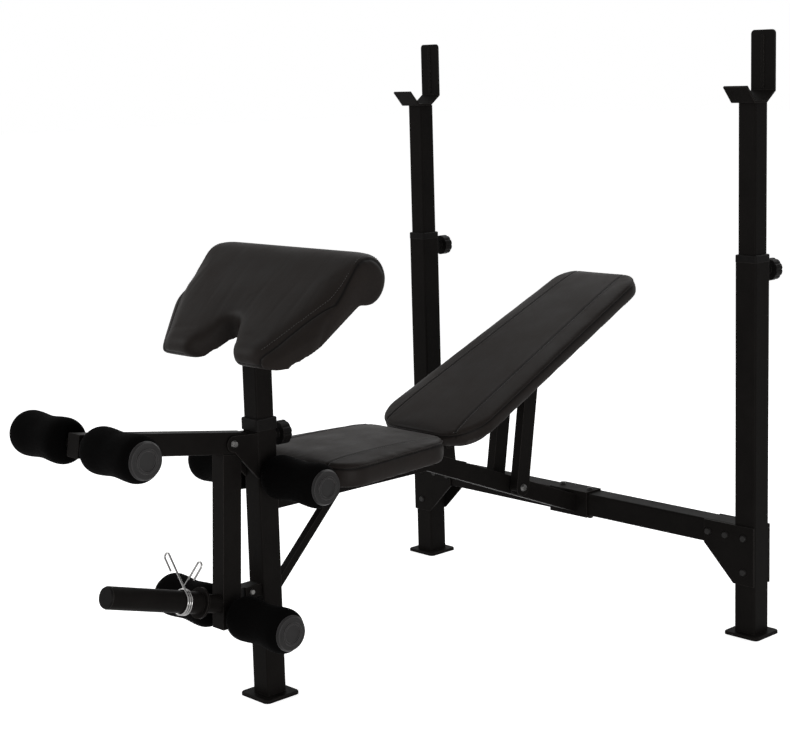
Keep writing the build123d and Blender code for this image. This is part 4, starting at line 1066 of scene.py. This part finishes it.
def paint_nodes():
    """Give every CAD node its slot's finish, and the knobs, collars and sleeve cap a darker plastic."""
    dark = dark_plastic()
    for name, obj in frame["nodes"].items():
        is_dark = name.endswith(("_knob", "_collar", "_collars", "sleeve_cap"))
        material = dark if is_dark else finish_of(SLOT_OF_NODE[name])
        if obj.data.materials:
            obj.data.materials[0] = material
        else:
            obj.data.materials.append(material)


def make_camera():
    """Camera at the photograph's angle, from yaw, pitch and roll."""
    look = studio()
    forward = Vector((
        -math.sin(look.yaw) * math.cos(look.pitch),
        math.cos(look.yaw) * math.cos(look.pitch),
        -math.sin(look.pitch)))
    level = Vector((math.cos(look.yaw), math.sin(look.yaw), 0.0))
    upward = level.cross(forward)
    right = level * math.cos(look.roll) + upward * math.sin(look.roll)
    upward = right.cross(forward)
    data = bpy.data.cameras.new("Camera")
    data.sensor_fit = "HORIZONTAL"
    data.sensor_width = SENSOR_WIDTH
    data.lens = look.lens
    data.shift_y = look.shift
    data.clip_end = 100.0
    camera = bpy.data.objects.new("Camera", data)
    turn = Matrix((right, upward, -forward)).transposed()
    camera.matrix_world = Matrix.Translation(look.eye) @ turn.to_4x4()
    bpy.context.scene.collection.objects.link(camera)
    bpy.context.scene.camera = camera


def soft_lamp(name, spot, aim, width, height, power):
    """A rectangular area lamp at a spot, turned to an aim."""
    data = bpy.data.lights.new(name, "AREA")
    data.shape = "RECTANGLE"
    data.size = width
    data.size_y = height
    data.energy = power
    lamp = bpy.data.objects.new(name, data)
    lamp.location = spot
    lamp.rotation_euler = (Vector(aim) - Vector(spot)).to_track_quat("-Z", "Y").to_euler()
    bpy.context.scene.collection.objects.link(lamp)


def make_stage():
    """Pale floor, white surroundings, soft lamps and the camera."""
    look = studio()
    scene = bpy.context.scene
    half = 40.0
    mesh = bpy.data.meshes.new("studio_floor")
    mesh.from_pydata(
        [(-half, -half, 0.0), (half, -half, 0.0), (half, half, 0.0), (-half, half, 0.0)],
        [], [(0, 1, 2, 3)])
    floor = bpy.data.objects.new("studio_floor", mesh)
    mesh.materials.append(studio_floor())
    scene.collection.objects.link(floor)
    world = bpy.data.worlds.new("Studio")
    scene.world = world
    world.use_nodes = True
    tree = world.node_tree
    tree.nodes.clear()
    strength = place(
        tree, "ShaderNodeMapRange",
        {"Value": rays_that_see(tree), "To Min": look.sky, "To Max": 1.0})
    sky = place(
        tree, "ShaderNodeBackground",
        {"Color": (1.0, 1.0, 1.0, 1.0), "Strength": strength.outputs["Result"]})
    place(tree, "ShaderNodeOutputWorld", {"Surface": sky.outputs[0]})
    middle = (0.0, 0.0, 0.6)
    soft_lamp("Key", (-0.4, 2.4, 3.2), middle, 3.2, 3.2, look.key)
    soft_lamp("Side", (2.3, -1.3, 0.5), (0.0, -0.3, 0.4), 1.2, 0.9, look.side)
    soft_lamp("Left", (-2.2, -2.2, 1.9), middle, 1.2, 1.6, look.left)
    make_camera()
    scene.view_settings.view_transform = "Standard"


class BENCH_OT_paint_nodes(bpy.types.Operator):
    """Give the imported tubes, plates, bolts, knobs and boards their finishes."""

    bl_idname = "bench.paint_nodes"
    bl_label = "Finish the frame"

    def execute(self, context):
        paint_nodes()
        return {"FINISHED"}


class BENCH_OT_seat_pad(bpy.types.Operator):
    """Stuff and sew the seat."""

    bl_idname = "bench.seat_pad"
    bl_label = "Seat pad"

    def execute(self, context):
        make_seat_pad()
        return {"FINISHED"}


class BENCH_OT_backrest_pad(bpy.types.Operator):
    """Stuff and sew the backrest."""

    bl_idname = "bench.backrest_pad"
    bl_label = "Backrest pad"

    def execute(self, context):
        make_backrest_pad()
        return {"FINISHED"}


class BENCH_OT_arm_pad(bpy.types.Operator):
    """Stuff and sew the arm pad."""

    bl_idname = "bench.arm_pad"
    bl_label = "Arm pad"

    def execute(self, context):
        make_arm_pad()
        return {"FINISHED"}


class BENCH_OT_rollers(bpy.types.Operator):
    """Turn the six foam rollers."""

    bl_idname = "bench.rollers"
    bl_label = "Foam rollers"

    def execute(self, context):
        make_rollers()
        return {"FINISHED"}


class BENCH_OT_stage(bpy.types.Operator):
    """Set the floor, the lamps, the white surroundings and the camera."""

    bl_idname = "bench.stage"
    bl_label = "Studio"

    def execute(self, context):
        make_stage()
        return {"FINISHED"}


class BENCH_PT_sidebar(bpy.types.Panel):
    """The bench's pieces and sizes."""

    bl_idname = "BENCH_PT_sidebar"
    bl_label = "Weight bench"
    bl_space_type = "VIEW_3D"
    bl_region_type = "UI"
    bl_category = "Bench"

    def draw(self, context):
        for operator in OPERATORS:
            self.layout.operator(operator.bl_idname)
        for name in ("bench_finishes", "bench_upholstery", "bench_studio"):
            group = getattr(context.scene, name)
            box = self.layout.box()
            for key in group.__annotations__:
                box.prop(group, key)


GROUPS = {
    "bench_finishes": BenchFinishes,
    "bench_upholstery": BenchUpholstery,
    "bench_studio": BenchStudio,
}
OPERATORS = (
    BENCH_OT_stage,
    BENCH_OT_paint_nodes,
    BENCH_OT_seat_pad,
    BENCH_OT_backrest_pad,
    BENCH_OT_arm_pad,
    BENCH_OT_rollers,
)


def register():
    """Register the groups, the operators and the panel."""
    for name, group in GROUPS.items():
        bpy.utils.register_class(group)
        setattr(bpy.types.Scene, name, PointerProperty(type=group))
    for operator in OPERATORS:
        bpy.utils.register_class(operator)
    bpy.utils.register_class(BENCH_PT_sidebar)


def unregister():
    """Take everything out again."""
    bpy.utils.unregister_class(BENCH_PT_sidebar)
    for operator in reversed(OPERATORS):
        bpy.utils.unregister_class(operator)
    for name, group in GROUPS.items():
        delattr(bpy.types.Scene, name)
        bpy.utils.unregister_class(group)


def main():
    register()
    for operator in OPERATORS:
        family, call = operator.bl_idname.split(".")
        getattr(getattr(bpy.ops, family), call)()


if __name__ == "__main__":
    main()
